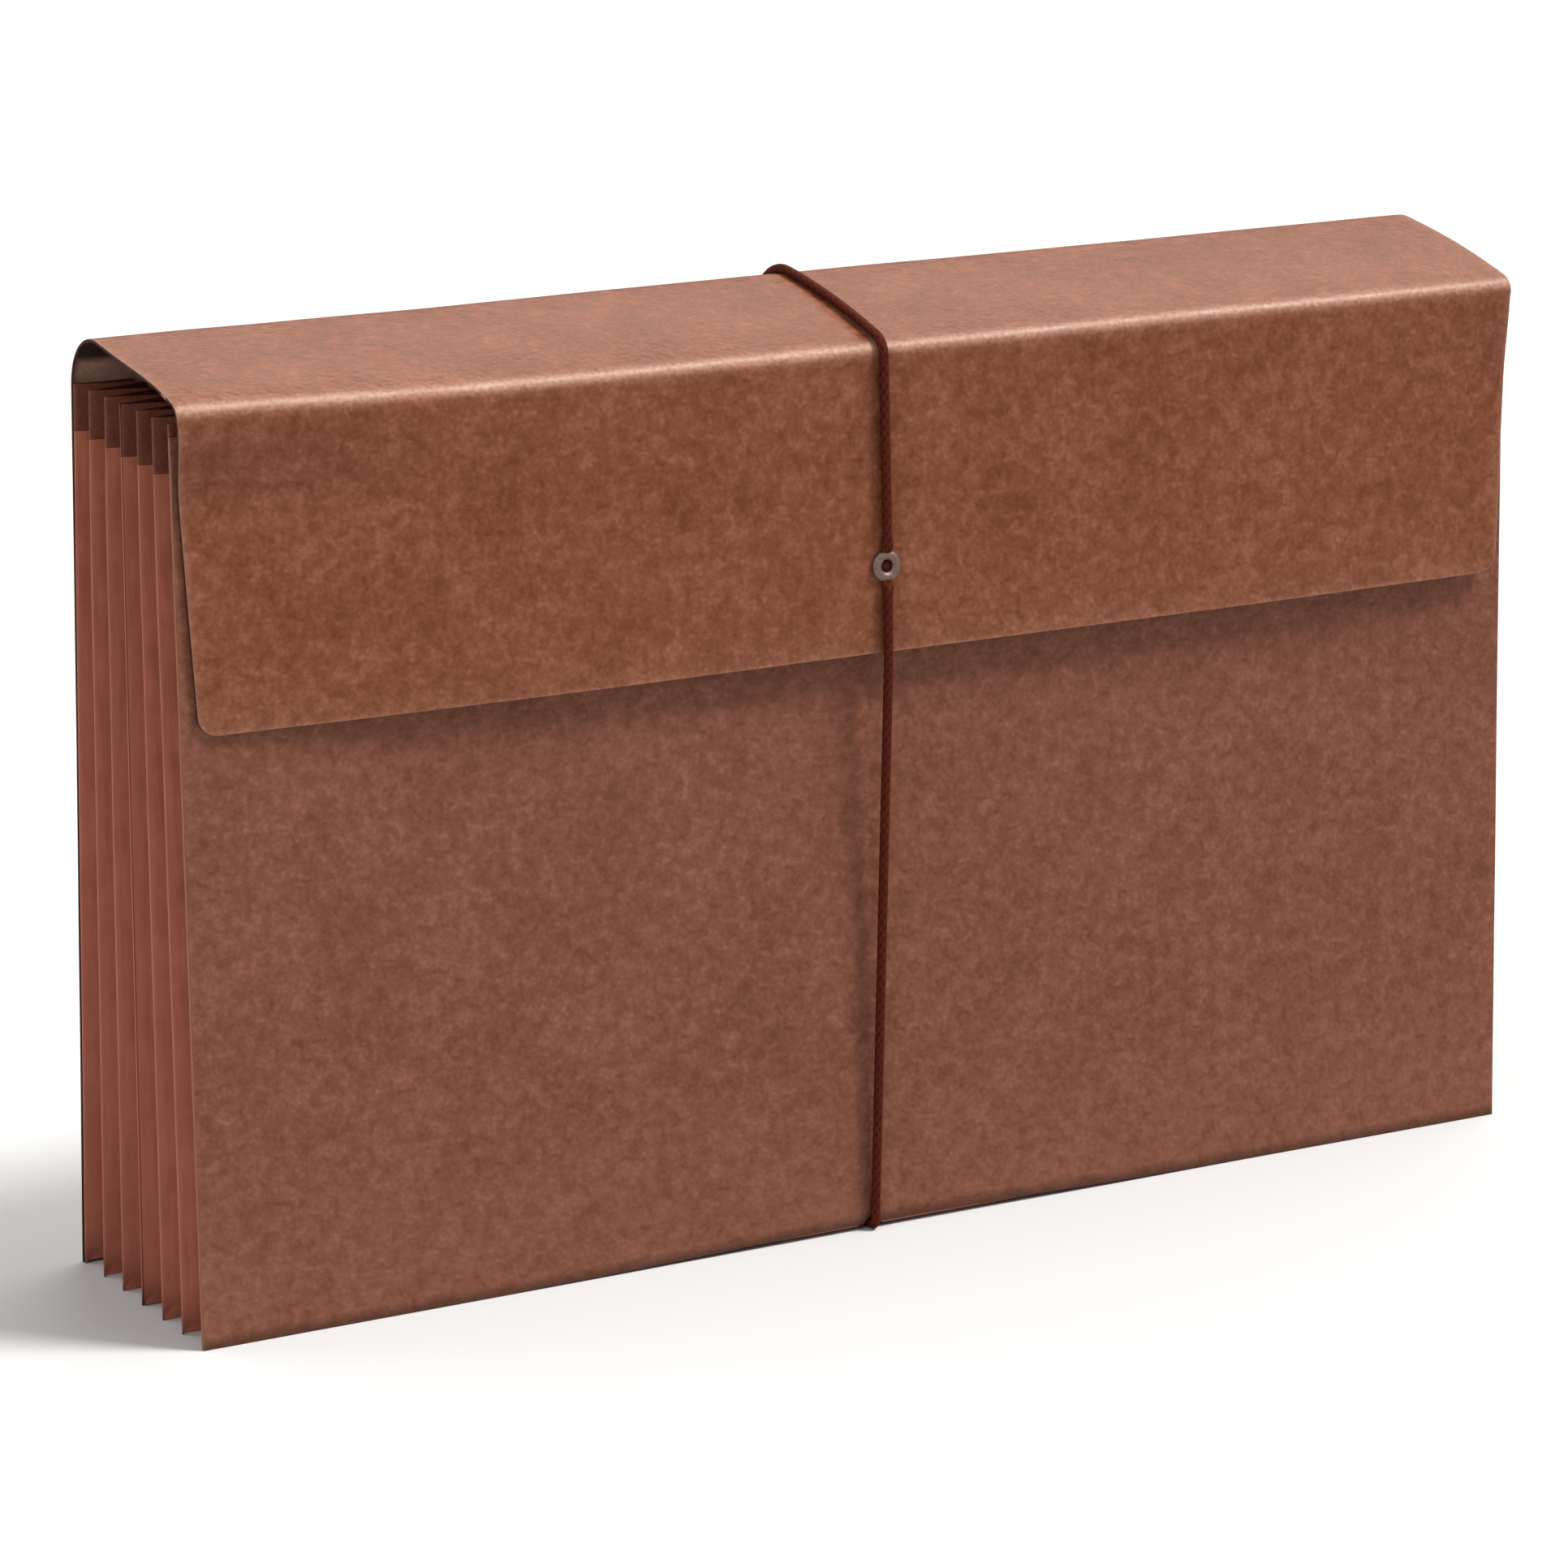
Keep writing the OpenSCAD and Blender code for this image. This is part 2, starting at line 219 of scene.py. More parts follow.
def bump_of(t, height, strength, distance, before=None):
    n = add(t, "ShaderNodeBump", in_Distance=distance)
    if isinstance(strength, bpy.types.NodeSocket):
        t.links.new(strength, n.inputs["Strength"])
    else:
        n.inputs["Strength"].default_value = strength
    t.links.new(height, n.inputs["Height"])
    if before is not None:
        t.links.new(before, n.inputs["Normal"])
    return n.outputs[0]


def board_material(name, dark, mid, light, edge_wear_and_painted_light, rough, grain, gloss=0.2, even=0.45, share=0.5, foot=None):
    """Leather-look board: mottled tones, a pressed pebble grain, another tone along its edges (wear on outer faces,
    with a painted highlight along the crease; painted shade on the inner faces), a warmer foot, and painted contact
    shade with soiling along the very bottom edge.
    """
    m, t, shader = nodes_of(name)
    where = attribute(t, "rest").outputs["Vector"]
    broad = noise_of(t, where, 0.045, 3.0, 0.55, 0.4)
    blotch = noise_of(t, where, 0.26, 3.0, 0.55, 0.5)
    speck = noise_of(t, where, 0.8, 3.0, 0.6)
    tone = maths(t, "ADD", maths(t, "MULTIPLY", broad, 0.22), maths(t, "MULTIPLY", blotch, 0.48))
    tone = maths(t, "ADD", tone, maths(t, "MULTIPLY", speck, 0.30))
    shades = ramp(t, [(0.38, dark), (0.50, mid), (0.62, light)])
    t.links.new(tone, shades.inputs[0])
    cells = add(t, "ShaderNodeTexVoronoi", feature="F1", in_Scale=0.62, in_Randomness=1.0)
    t.links.new(where, cells.inputs["Vector"])
    pits = spread(t, cells.outputs["Distance"], 0.35, 0.85, 0.0, 1.0)
    colour = mix_colour(t, shades.outputs[0], dark, maths(t, "MULTIPLY", pits, 0.35))
    edge = attribute(t, "edge").outputs["Fac"]
    if foot is not None:
        split = t.nodes.new("ShaderNodeSeparateXYZ")
        t.links.new(where, split.inputs[0])
        low = maths(t, "MULTIPLY", spread(t, split.outputs["Y"], foot[0], foot[1], 0.55, 0.0), spread(t, blotch, 0.35, 0.65, 0.3, 1.0))
        colour = mix_colour(t, colour, light, low)
        # painted contact shade, with some soiling, darkest at the bottom edge and gone about 3 mm up
        contact_shade_and_dirt = maths(t, "MULTIPLY", spread(t, split.outputs["Y"], foot[0] - 1.8, foot[0] + 1.4, 1.0, 0.0), spread(t, speck, 0.3, 0.7, 0.7, 1.0))
        colour = mix_colour(t, colour, (0.030, 0.011, 0.007), contact_shade_and_dirt)
    # edge tone: wear on outer faces with a painted highlight on the crease, painted shade on inner faces
    wear_and_painted_light_mask = maths(t, "MULTIPLY", edge, spread(t, speck, 0.3, 0.7, even, 1.0))
    colour = mix_colour(t, colour, edge_wear_and_painted_light, maths(t, "MULTIPLY", wear_and_painted_light_mask, share))
    t.links.new(colour, shader.inputs["Base Color"])
    t.links.new(spread(t, blotch, 0.3, 0.7, rough - 0.06, rough + 0.07), shader.inputs["Roughness"])
    fine = noise_of(t, where, 2.6, 3.0, 0.6)
    depth = spread(t, edge, 0.0, 0.6, grain, grain * 0.25)
    relief = bump_of(t, cells.outputs["Distance"], depth, 0.0003)
    relief = bump_of(t, fine, grain * 0.7, 0.00012, relief)
    relief = bump_of(t, broad, grain * 0.5, 0.0008, relief)
    t.links.new(relief, shader.inputs["Normal"])
    shader.inputs["Specular IOR Level"].default_value = gloss
    return m


def paper_material(name, dark, light, edge_wear_and_painted_light, rough, stretch, foot=None, painted_light_fall=0.0):
    """Heavy gusset paper: long pressed fibres, specks, folds made a little paler (wear and a painted highlight on the
    ridges), and a foot darkened up to a height (painted contact shade with some soiling). The last argument sets how
    much its tone rises low down and drops high up, which is painted light from the floor and painted shade under the
    flap."""
    m, t, shader = nodes_of(name)
    where = attribute(t, "rest").outputs["Vector"]
    long = add(t, "ShaderNodeMapping", vector_type="POINT", in_Scale=stretch)
    t.links.new(where, long.inputs["Vector"])
    fibres = noise_of(t, long.outputs[0], 1.0, 4.0, 0.6, 0.3)
    cloud = noise_of(t, where, 0.11, 3.0, 0.55)
    tone = maths(t, "ADD", maths(t, "MULTIPLY", fibres, 0.5), maths(t, "MULTIPLY", cloud, 0.5))
    if painted_light_fall:
        height = t.nodes.new("ShaderNodeSeparateXYZ")
        t.links.new(where, height.inputs[0])
        # painted light: tone raised low down where the floor throws light up, and lowered high up in the shade under
        # the flap
        tone = maths(t, "ADD", tone, spread(t, height.outputs["Z"], 45.0, 195.0, painted_light_fall, -painted_light_fall))
    shades = ramp(t, [(0.34, dark), (0.66, light)])
    t.links.new(tone, shades.inputs[0])
    edge = attribute(t, "edge").outputs["Fac"]
    # edge tone: on the gusset, wear and a painted highlight along the fold ridges
    colour = mix_colour(t, shades.outputs[0], edge_wear_and_painted_light, maths(t, "MULTIPLY", edge, spread(t, fibres, 0.3, 0.7, 0.3, 0.85)))
    if foot is not None:
        split = t.nodes.new("ShaderNodeSeparateXYZ")
        t.links.new(where, split.inputs[0])
        # painted contact shade, with some soiling, fading out at the height foot
        contact_shade_and_dirt = maths(t, "POWER", spread(t, split.outputs["Z"], 0.3, foot, 0.9, 0.0), 1.6)
        colour = mix_colour(t, colour, (0.045, 0.013, 0.008), maths(t, "MULTIPLY", contact_shade_and_dirt, spread(t, cloud, 0.3, 0.7, 0.7, 1.0)))
    t.links.new(colour, shader.inputs["Base Color"])
    t.links.new(spread(t, cloud, 0.3, 0.7, rough - 0.07, rough + 0.07), shader.inputs["Roughness"])
    tooth = noise_of(t, where, 3.2, 3.0, 0.6)
    relief = bump_of(t, fibres, 0.35, 0.00012)
    relief = bump_of(t, tooth, 0.25, 0.00008, relief)
    t.links.new(relief, shader.inputs["Normal"])
    shader.inputs["Specular IOR Level"].default_value = 0.15
    return m


def cord_material():
    """Braided elastic: two yarn directions crossing, the yarns paler where they stand high and darker where they lie
    low (painted shade between the crossings), a soft sheen.
    """
    m, t, shader = nodes_of("cord_braid")
    where = attribute(t, "rest").outputs["Vector"]
    lie = attribute(t, "edge").outputs["Fac"]
    fuzz = noise_of(t, where, 2.2, 4.0, 0.65)
    # colour follows yarn height: painted shade where the yarns lie low
    shades = ramp(t, [(0.15, (0.034, 0.0054, 0.0024)), (0.6, (0.062, 0.0094, 0.0041)), (1.0, (0.098, 0.0170, 0.0080))])
    t.links.new(maths(t, "MULTIPLY", lie, spread(t, fuzz, 0.25, 0.75, 0.65, 1.0)), shades.inputs[0])
    t.links.new(shades.outputs[0], shader.inputs["Base Color"])
    t.links.new(spread(t, fuzz, 0.3, 0.7, 0.55, 0.8), shader.inputs["Roughness"])
    t.links.new(bump_of(t, fuzz, 0.4, 0.0001), shader.inputs["Normal"])
    shader.inputs["Specular IOR Level"].default_value = 0.06
    return m


def metal_material():
    """Plated eyelet, with faint turning marks and handling scratches."""
    m, t, shader = nodes_of("eyelet_plate")
    where = attribute(t, "rest").outputs["Vector"]
    cloud = noise_of(t, where, 0.9, 4.0, 0.6)
    marks = add(t, "ShaderNodeMapping", vector_type="POINT", in_Scale=(0.6, 9.0, 0.6))
    t.links.new(where, marks.inputs["Vector"])
    scratch = noise_of(t, marks.outputs[0], 1.4, 4.0, 0.7)
    shades = ramp(t, [(0.3, (0.150, 0.100, 0.084)), (0.7, (0.235, 0.170, 0.146))])
    t.links.new(cloud, shades.inputs[0])
    t.links.new(shades.outputs[0], shader.inputs["Base Color"])
    shader.inputs["Metallic"].default_value = 1.0
    t.links.new(spread(t, scratch, 0.3, 0.7, 0.48, 0.66), shader.inputs["Roughness"])
    t.links.new(bump_of(t, scratch, 0.2, 0.00005), shader.inputs["Normal"])
    return m


# the pale edge tone is wear along the edges and a painted highlight along the flap's crease
BOARD = board_material("board_leather_look", (0.121, 0.0340, 0.0124), (0.170, 0.0533, 0.0252), (0.226, 0.083, 0.0462),
                       (0.52, 0.31, 0.225), 0.36, 0.5, gloss=0.12, share=0.8)
FRONT = board_material("board_front", (0.121, 0.0398, 0.0206), (0.166, 0.0594, 0.0341), (0.216, 0.0847, 0.0534),
                       (0.30, 0.14, 0.085), 0.42, 0.5, gloss=0.12, foot=(702.0, 748.0))
# its edge tone is near black: painted shade along the inner faces' edges and under the shoulder's arch
INSIDE = board_material("board_inner_face", (0.310, 0.168, 0.120), (0.395, 0.225, 0.164), (0.480, 0.280, 0.210),
                        (0.010, 0.0036, 0.0022), 0.66, 0.25, gloss=0.1, even=0.9, share=1.0)
CUT = paper_material("board_cut_edge", (0.016, 0.0052, 0.003), (0.036, 0.0125, 0.007), (0.05, 0.019, 0.011), 0.75,
                     (0.35, 0.35, 2.2))
FRONT_CUT = paper_material("board_front_cut_edge", (0.17, 0.066, 0.043), (0.26, 0.110, 0.076), (0.27, 0.125, 0.088), 0.7,
                           (0.35, 0.35, 2.2))
GUSSET = paper_material("gusset_paper", (0.335, 0.102, 0.062), (0.470, 0.158, 0.099), (0.50, 0.185, 0.120), 0.62,
                        (0.55, 0.55, 0.05))
# darkened at its foot (painted contact shade with soiling), lighter low down and darker high up (painted light)
SIDE = paper_material("gusset_paper_side", (0.272, 0.083, 0.050), (0.388, 0.128, 0.080), (0.372, 0.126, 0.080), 0.62,
                      (0.55, 0.55, 0.05), foot=9.0, painted_light_fall=0.095)
TAPE = paper_material("gusset_tape", (0.074, 0.0190, 0.0095), (0.136, 0.0400, 0.0220), (0.17, 0.062, 0.040), 0.62,
                      (0.9, 0.9, 0.9))
CORD = cord_material()
METAL = metal_material()


# ---- mesh making --------------------------------------------------------------
def make(name, verts, faces, rest, edge, materials, face_material=None, sharp=math.radians(38)):
    me = bpy.data.meshes.new(name)
    me.from_pydata([tuple(v) for v in np.asarray(verts, float) * MM], [], [tuple(int(i) for i in f) for f in faces])
    a = me.attributes.new("rest", "FLOAT_VECTOR", "POINT")
    a.data.foreach_set("vector", np.asarray(rest, np.float32).ravel())
    a = me.attributes.new("edge", "FLOAT", "POINT")
    a.data.foreach_set("value", np.asarray(edge, np.float32).ravel())
    for m in materials:
        me.materials.append(m)
    if face_material is not None:
        me.polygons.foreach_set("material_index", np.asarray(face_material, np.int32))
    me.update()
    me.shade_smooth()
    me.set_sharp_from_angle(angle=sharp)
    o = bpy.data.objects.new(name, me)
    bpy.context.scene.collection.objects.link(o)
    return o


def sheet(name, P, N, T, S, border, face, round_r=0.24, seam_rows=(), wear_and_crease_highlight=0.0, inner_painted_shade=0.0, rim=None):
    """A closed sheet of board. P, N are grids of outer points and outward normals, T its thickness, S the grid of
    (x, run) on the flat sheet, border the distance of each point from the sheet's free edges. Its rim is rounded,
    apart from the rows named in seam_rows, where another sheet carries on. Two grids give how far the outer and the
    inner face take on their edge's tone: on the outer face that tone is wear, with a painted highlight along the
    crease;
    on the inner face it is painted shade, which every inner face also gets within about 2 mm of its free edges."""
    nv, nu = P.shape[:2]
    loop = [(0, j) for j in range(nu)] + [(i, nu - 1) for i in range(1, nv)] \
        + [(nv - 1, j) for j in range(nu - 2, -1, -1)] + [(i, 0) for i in range(nv - 2, 0, -1)]
    n = len(loop)
    ring = np.array([P[i, j] for i, j in loop])
    normal = np.array([N[i, j] for i, j in loop])
    ahead, behind = np.roll(ring, -1, 0) - ring, ring - np.roll(ring, 1, 0)
    ahead /= np.linalg.norm(ahead, axis=1)[:, None]
    behind /= np.linalg.norm(behind, axis=1)[:, None]
    out_a, out_b = np.cross(ahead, normal), np.cross(behind, normal)
    out = out_a + out_b
    out /= (np.einsum("ij,ij->i", out, out_a))[:, None]      # reaches as far as each of the two sides
    middle = P.mean((0, 1))
    if np.einsum("ij,ij->i", out, ring - middle).sum() < 0:
        out = -out
    rr = np.full(n, round_r)
    seam = np.zeros(n, bool)
    for k, (i, j) in enumerate(loop):
        if i in seam_rows or (i - nv) in seam_rows:
            seam[k] = True
            rr[k] = 0.01
    thick = np.array([T[i, j] for i, j in loop])
    P = P.copy()
    for k, (i, j) in enumerate(loop):
        P[i, j] = ring[k] - out[k] * rr[k]
    grid = lambda i, j: i * nu + j
    outer = P.reshape(-1, 3)
    inner = (P - N * T[..., None]).reshape(-1, 3)
    verts = [outer, inner]
    rest = [np.concatenate([S.reshape(-1, 2), np.zeros((nv * nu, 1))], 1),
            np.concatenate([S.reshape(-1, 2), np.full((nv * nu, 1), 40.0)], 1)]
    bound = np.exp(-np.maximum(border, 0) / 0.9)
    outer_wear_and_highlight = np.maximum(0.30 * bound, wear_and_crease_highlight).reshape(-1)
    # inner face: painted shade within about 2 mm of the free edges, and wherever the given grid asks for it
    edge = [outer_wear_and_highlight, np.maximum(np.exp(-np.maximum(border, 0) / 2.2), inner_painted_shade).reshape(-1)]
    faces, fm = [], []
    for i in range(nv - 1):
        for j in range(nu - 1):
            q = (grid(i, j), grid(i, j + 1), grid(i + 1, j + 1), grid(i + 1, j))
            faces.append(q)
            fm.append(0)
            faces.append(tuple(nv * nu + x for x in q[::-1]))
            fm.append(1)
    base = np.array([P[i, j] for i, j in loop])
    rings = [[grid(i, j) for i, j in loop]]
    count = 2 * nv * nu
    for depth_of, reach in (
            (lambda r, t: r * (1 - math.cos(math.pi / 4)), math.sin(math.pi / 4)),
            (lambda r, t: r, 1.0),
            (lambda r, t: t - r, 1.0),
            (lambda r, t: t - r * (1 - math.cos(math.pi / 4)), math.sin(math.pi / 4))):
        d = np.array([depth_of(r, t) for r, t in zip(rr, thick)])
        verts.append(base + out * (rr * reach)[:, None] - normal * d[:, None])
        rest.append(np.array([[S[i, j][0], S[i, j][1], 3.0 + 20 * dd] for (i, j), dd in zip(loop, d)]))
        edge.append(np.where(seam, outer_wear_and_highlight[[grid(i, j) for i, j in loop]], 0.6))
        rings.append(list(range(count, count + n)))
        count += n
    rings.append([nv * nu + grid(i, j) for i, j in loop])
    for a, b in zip(rings, rings[1:]):
        for k in range(n):
            faces.append((a[(k + 1) % n], a[k], b[k], b[(k + 1) % n]))
            fm.append(0 if a is rings[0] or seam[k] else 2)
    verts, rest, edge = np.concatenate(verts), np.concatenate(rest), np.concatenate(edge)
    # faces point outwards
    f = faces[0]
    face_n = np.cross(verts[f[1]] - verts[f[0]], verts[f[2]] - verts[f[0]])
    if face_n @ N[0, 0] < 0:
        faces = [x[::-1] for x in faces]
    o = make(name, verts, faces, rest, edge, [face, INSIDE, rim or CUT], fm, sharp=math.radians(50))
    if seam.any():
        hard = {(min(rings[r][k], rings[r][(k + 1) % n]), max(rings[r][k], rings[r][(k + 1) % n]))
                for r in (0, len(rings) - 1) for k in range(n) if seam[k] and seam[(k + 1) % n]}
        sharp = np.zeros(len(o.data.edges), bool)
        flags = o.data.attributes.get("sharp_edge") or o.data.attributes.new("sharp_edge", "BOOLEAN", "EDGE")
        flags.data.foreach_get("value", sharp)
        for e in o.data.edges:
            a, b = e.vertices
            if (min(a, b), max(a, b)) in hard:
                sharp[e.index] = True
        flags.data.foreach_set("value", sharp)
        o.data.update()
    return o


def columns():
    """Positions across a sheet as shares of its half width, closer together at its edges and round the cord."""
    half = WIDTH / 2
    side = [half - d for d in (0, 0.35, 0.9, 2.0, 4.5, 9, 16)]
    across = sorted({round(x, 3) for x in side} | {round(-x, 3) for x in side}
                    | {round(x, 3) for x in np.linspace(-164, 164, 36) if not -10 < x < 3}
                    | {-9.0, -7.5, -6.6, -6.0, -5.4, -4.7, -4.0, -3.3, -2.6, -2.0, -1.4, -0.5, 1.0})
    return np.array(across) / half


U = columns()


def notch(x):
    """How far the cord has pressed into a board's bottom edge."""
    d = abs(x - CORD_X_LOW)
    return 0.0 if d > 2.6 else 3.3 * (0.5 + 0.5 * math.cos(math.pi * d / 2.6)) ** 0.5


def ease(k):
    k = np.clip(k, 0, 1)
    return k * k * (3 - 2 * k)


def curl(x):
    """How far the crease's left end stands up."""
    return 1.8 * np.exp(-((x + WIDTH / 2) / 52) ** 2)


def bow(x):
    """How far the cord draws up the front board's bottom edge."""
    return 1.5 * math.exp(-((x - 4) / 72) ** 2)


def ripple(x, s, seed):
    return 0.30 * wobble(x, s, seed, 74) + 0.13 * wobble(x, s, seed + 3, 29) + 0.035 * wobble(x, s, seed + 6, 9)


# ---- back board, shoulder and top of the flap: one sheet -------------------------
rows = []      # y, z, slope of the outward normal, thickness, run along the sheet, half width
for z in [0, 0.35, 0.9, 2, 4, 7, 11, 16, 23, 32] + list(np.linspace(42, 212, 18)) + [217, 220]:
    rows.append((HALF * tau(z), z, math.pi / 2 - LEAN, BOARD_T * tau(z), z / math.cos(LEAN), WIDTH / 2))
run = SHOULDER_Z / math.cos(LEAN)
turn = math.pi / 2 - LEAN - SLOPE_TOP
for k in range(33):
    a = math.pi / 2 - LEAN - turn * k / 32
    p = shoulder_c + SHOULDER_R * outward(a)
    rows.append((p[0], p[1], a, FLAP_T, run + SHOULDER_R * turn * k / 32, WIDTH / 2 - (WIDTH / 2 - FLAP_HALF) * k / 32))
run += SHOULDER_R * turn
top_turn = SLOPE_TOP - slope_seam
for k in range(1, 17):
    a = SLOPE_TOP - top_turn * k / 16
    p = top_c + TOP_R * outward(a)
    rows.append((p[0], p[1], a, FLAP_T, run + TOP_R * top_turn * k / 16, FLAP_HALF))
RUN_SEAM = run + TOP_R * top_turn


def grid_of(rows, seed, low_edge=None, far_edge=None, foot=False, bowed=None):
    nv, nu = len(rows), len(U)
    P, N = np.zeros((nv, nu, 3)), np.zeros((nv, nu, 3))
    T, S, border = np.zeros((nv, nu)), np.zeros((nv, nu, 2)), np.zeros((nv, nu))
    for i, (y, z, a, t, s, hw) in enumerate(rows):
        for j, u in enumerate(U):
            x = u * hw
            n = np.array([0.0, math.sin(a), math.cos(a)])
            lift = 0.0
            if foot and s < 12:
                lift = (notch(x) if bowed is None else notch(x) * (1 - bowed(x) / 3.3)) * max(0.0, 1 - s / 12)
            if bowed is not None and s < 30:
                lift += bowed(x) * (1 - s / 30)
            d = hw - abs(x)
            if low_edge is not None:
                d = min(d, s - low_edge)
            if far_edge is not None:
                d = min(d, far_edge - s)
            P[i, j] = np.array([x, y, z + lift]) + n * ripple(x, s, seed)
            N[i, j], T[i, j], S[i, j], border[i, j] = n, t, (x, s), d
    return P, N, T, S, border


P, N, T, S, border = grid_of(rows, 1.0, low_edge=0.0, foot=True)
P[..., 2] += curl(S[..., 0]) * ease((S[..., 1] - RUN_SEAM) / 32 + 1)
# painted shade on the inner face of the shoulder and top near both ends of the sheet, deepest at the crown of the arch
arch = np.exp(-((S[..., 1] - 234) / 7) ** 2)
inner_painted_shade = ease((S[..., 1] - 226) / 4) * np.minimum(1, (1 + 0.8 * arch) * np.exp(-np.maximum(border, 0) / (18 + 5 * arch)))
back_sheet = sheet("back_and_top_sheet", P, N, T, S, border, BOARD, seam_rows=(-1,), inner_painted_shade=inner_painted_shade)
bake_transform(back_sheet)
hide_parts("back_panel", "flap_top")

# ---- front of the flap, from just before the crease ------------------------------
rows = []
for k in range(5):
    a = slope_seam - (slope_seam - slope_round) * k / 4
    p = top_c + TOP_R * outward(a)
    rows.append((p[0], p[1], a, FLAP_T, RUN_SEAM + SEAM_RUN * k / 4, FLAP_HALF))
run = RUN_SEAM + SEAM_RUN
bend_turn = slope_round - SLOPE_FRONT
for k in range(1, 15):
    a = slope_round - bend_turn * k / 14
    p = crease_c + CREASE_R * outward(a)
    rows.append((p[0], p[1], a, FLAP_T, run + CREASE_R * bend_turn * k / 14, FLAP_HALF))
run += CREASE_R * bend_turn
front_start = crease_c + CREASE_R * outward(SLOPE_FRONT)
d_start = (crease[1] - front_start[1]) / math.cos(FLAP_TURN)
corner_d = FLAP_DROP - FLAP_CORNER
drops = [d_start + 1.5, d_start + 4] + list(np.linspace(9, corner_d - 1.5, 15))
drops += [corner_d + FLAP_CORNER * math.sin(math.radians(a)) for a in (0, 10, 20, 30, 40, 50, 59, 67, 74, 80, 85, 90)]
slope_side = math.atan(FLAP_TAPER / FLAP_DROP)


def flap_hw(d):
    side = FLAP_HALF - FLAP_TAPER * d / FLAP_DROP
    if d <= corner_d - FLAP_CORNER * math.sin(slope_side):
        return side
    cx = FLAP_HALF - FLAP_TAPER * corner_d / FLAP_DROP - FLAP_CORNER / math.cos(slope_side)
    return cx + math.sqrt(max(0.0, FLAP_CORNER ** 2 - (d - corner_d) ** 2))


for d in drops:
    p = on_flap(d, 0)
    rows.append((p[0], p[1], SLOPE_FRONT, FLAP_T, run + d - d_start, flap_hw(d)))
RUN_EDGE = rows[-1][4]
P, N, T, S, border = grid_of(rows, 1.0, far_edge=RUN_EDGE)
for i, r in enumerate(rows):
    d = max(0.0, r[4] - run)
    for j in range(len(U)):
        x = P[i, j][0]
        ends = min(1.0, max(0.0, (abs(x) - 60) / 118)) ** 2 * (4.4 if x < 0 else 1.4)
        P[i, j] += N[i, j] * (0.4 * wobble(x, 0, 9.0, 120) * (d / FLAP_DROP) ** 2 - ends * ease(d / 24))
        P[i, j][2] += curl(x) * ease(1 - d / 36)
        if d > 0:
            z = P[i, j][2]
            lie = -HALF * tau(z) - ripple(x, z / math.cos(LEAN), 2.0) - FLAP_T - 0.22 - 0.3 * (d / FLAP_DROP) ** 2     # against the front board
            P[i, j][1] = lie - 0.3 * np.logaddexp(0, (lie - P[i, j][1]) / 0.3)
# the crease takes the paler tone, partly wear and partly a painted highlight; the flap's lower edge is a little paler
# from wear
crease_mid = run - CREASE_R * bend_turn / 2
wear_and_crease_highlight = np.array([[(0.85 + 0.3 * wobble(S[i, j, 0], 0, 4.0, 17)) * math.exp(-((S[i, j, 1] - crease_mid) / 1.8) ** 2)
                    + 0.11 * math.exp(-(RUN_EDGE - S[i, j, 1]) / 4.5)
                    for j in range(len(U))] for i in range(len(rows))])
flap_sheet = sheet("flap_front_sheet", P, N, T, S, border, BOARD, seam_rows=(0,), wear_and_crease_highlight=wear_and_crease_highlight)
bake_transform(flap_sheet)
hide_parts("flap_front")

# ---- front board ----------------------------------------------------------------
rows = []
for z in [0, 0.35, 0.9, 2, 4, 7, 11, 16, 23, 32] + list(np.linspace(42, 200, 17)) + [208, 213, 216, 218, 218.65, FRONT_H]:
    rows.append((-HALF * tau(z), z, -math.pi / 2 + LEAN, BOARD_T * tau(z), z / math.cos(LEAN), WIDTH / 2))
P, N, T, S, border = grid_of(rows, 2.0, low_edge=0.0, far_edge=FRONT_H / math.cos(LEAN), foot=True, bowed=bow)
swell = 1.0 * np.exp(-((S[..., 1] - 72) / 42) ** 2 - ((S[..., 0] - 10) / 80) ** 2) * np.minimum(1, S[..., 1] / 25)
P += N * swell[..., None]
S[..., 1] += 700
front_sheet = sheet("front_sheet", P, N, T, S, border, FRONT, rim=FRONT_CUT)
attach(front_sheet, "front")
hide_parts("front_panel")

# ---- gusset -----------------------------------------------------------------------
step = (2 * GLUE - OPEN_GAP) / PLEATS
PHI = math.asin(step / math.hypot(PLEAT_W, PAPER_T)) - math.atan2(PAPER_T, PLEAT_W)
HINGE_R = PAPER_T / 2


def fan(i):
    return math.atan(GLUE / APEX) * (1 - (2 * i - 1) / PLEATS)


def side_along(i):
    return np.array([math.cos(PHI) * (1 if i % 2 else -1), -math.sin(PHI)])


def side_across(i):
    return np.array([-math.sin(PHI) * (1 if i % 2 else -1), -math.cos(PHI)])


def bottom_turn(i):
    return PHI + fan(i) * (1 if i % 2 else -1)


def bottom_along(i):
    b = bottom_turn(i)
    return np.array([-math.sin(b), math.cos(b) * (1 if i % 2 else -1)])


def bottom_across(i):
    b = bottom_turn(i)
    return np.array([-math.cos(b), -math.sin(b) * (1 if i % 2 else -1)])


BOTTOM_W = (2 * GLUE * tau(LIFT) - OPEN_GAP - PAPER_T * sum(math.cos(bottom_turn(i)) for i in range(1, PLEATS + 1))) \
    / sum(math.sin(bottom_turn(i)) for i in range(1, PLEATS + 1))
side_folds, bottom_folds = [np.array([-GUSSET_X, GLUE])], [np.array([GLUE * tau(LIFT), LIFT])]
for i in range(1, PLEATS // 2 + 1):
    side_folds.append(side_folds[-1] + PLEAT_W * side_along(i) + PAPER_T * side_across(i))
    bottom_folds.append(bottom_folds[-1] + BOTTOM_W * bottom_along(i) + PAPER_T * bottom_across(i))


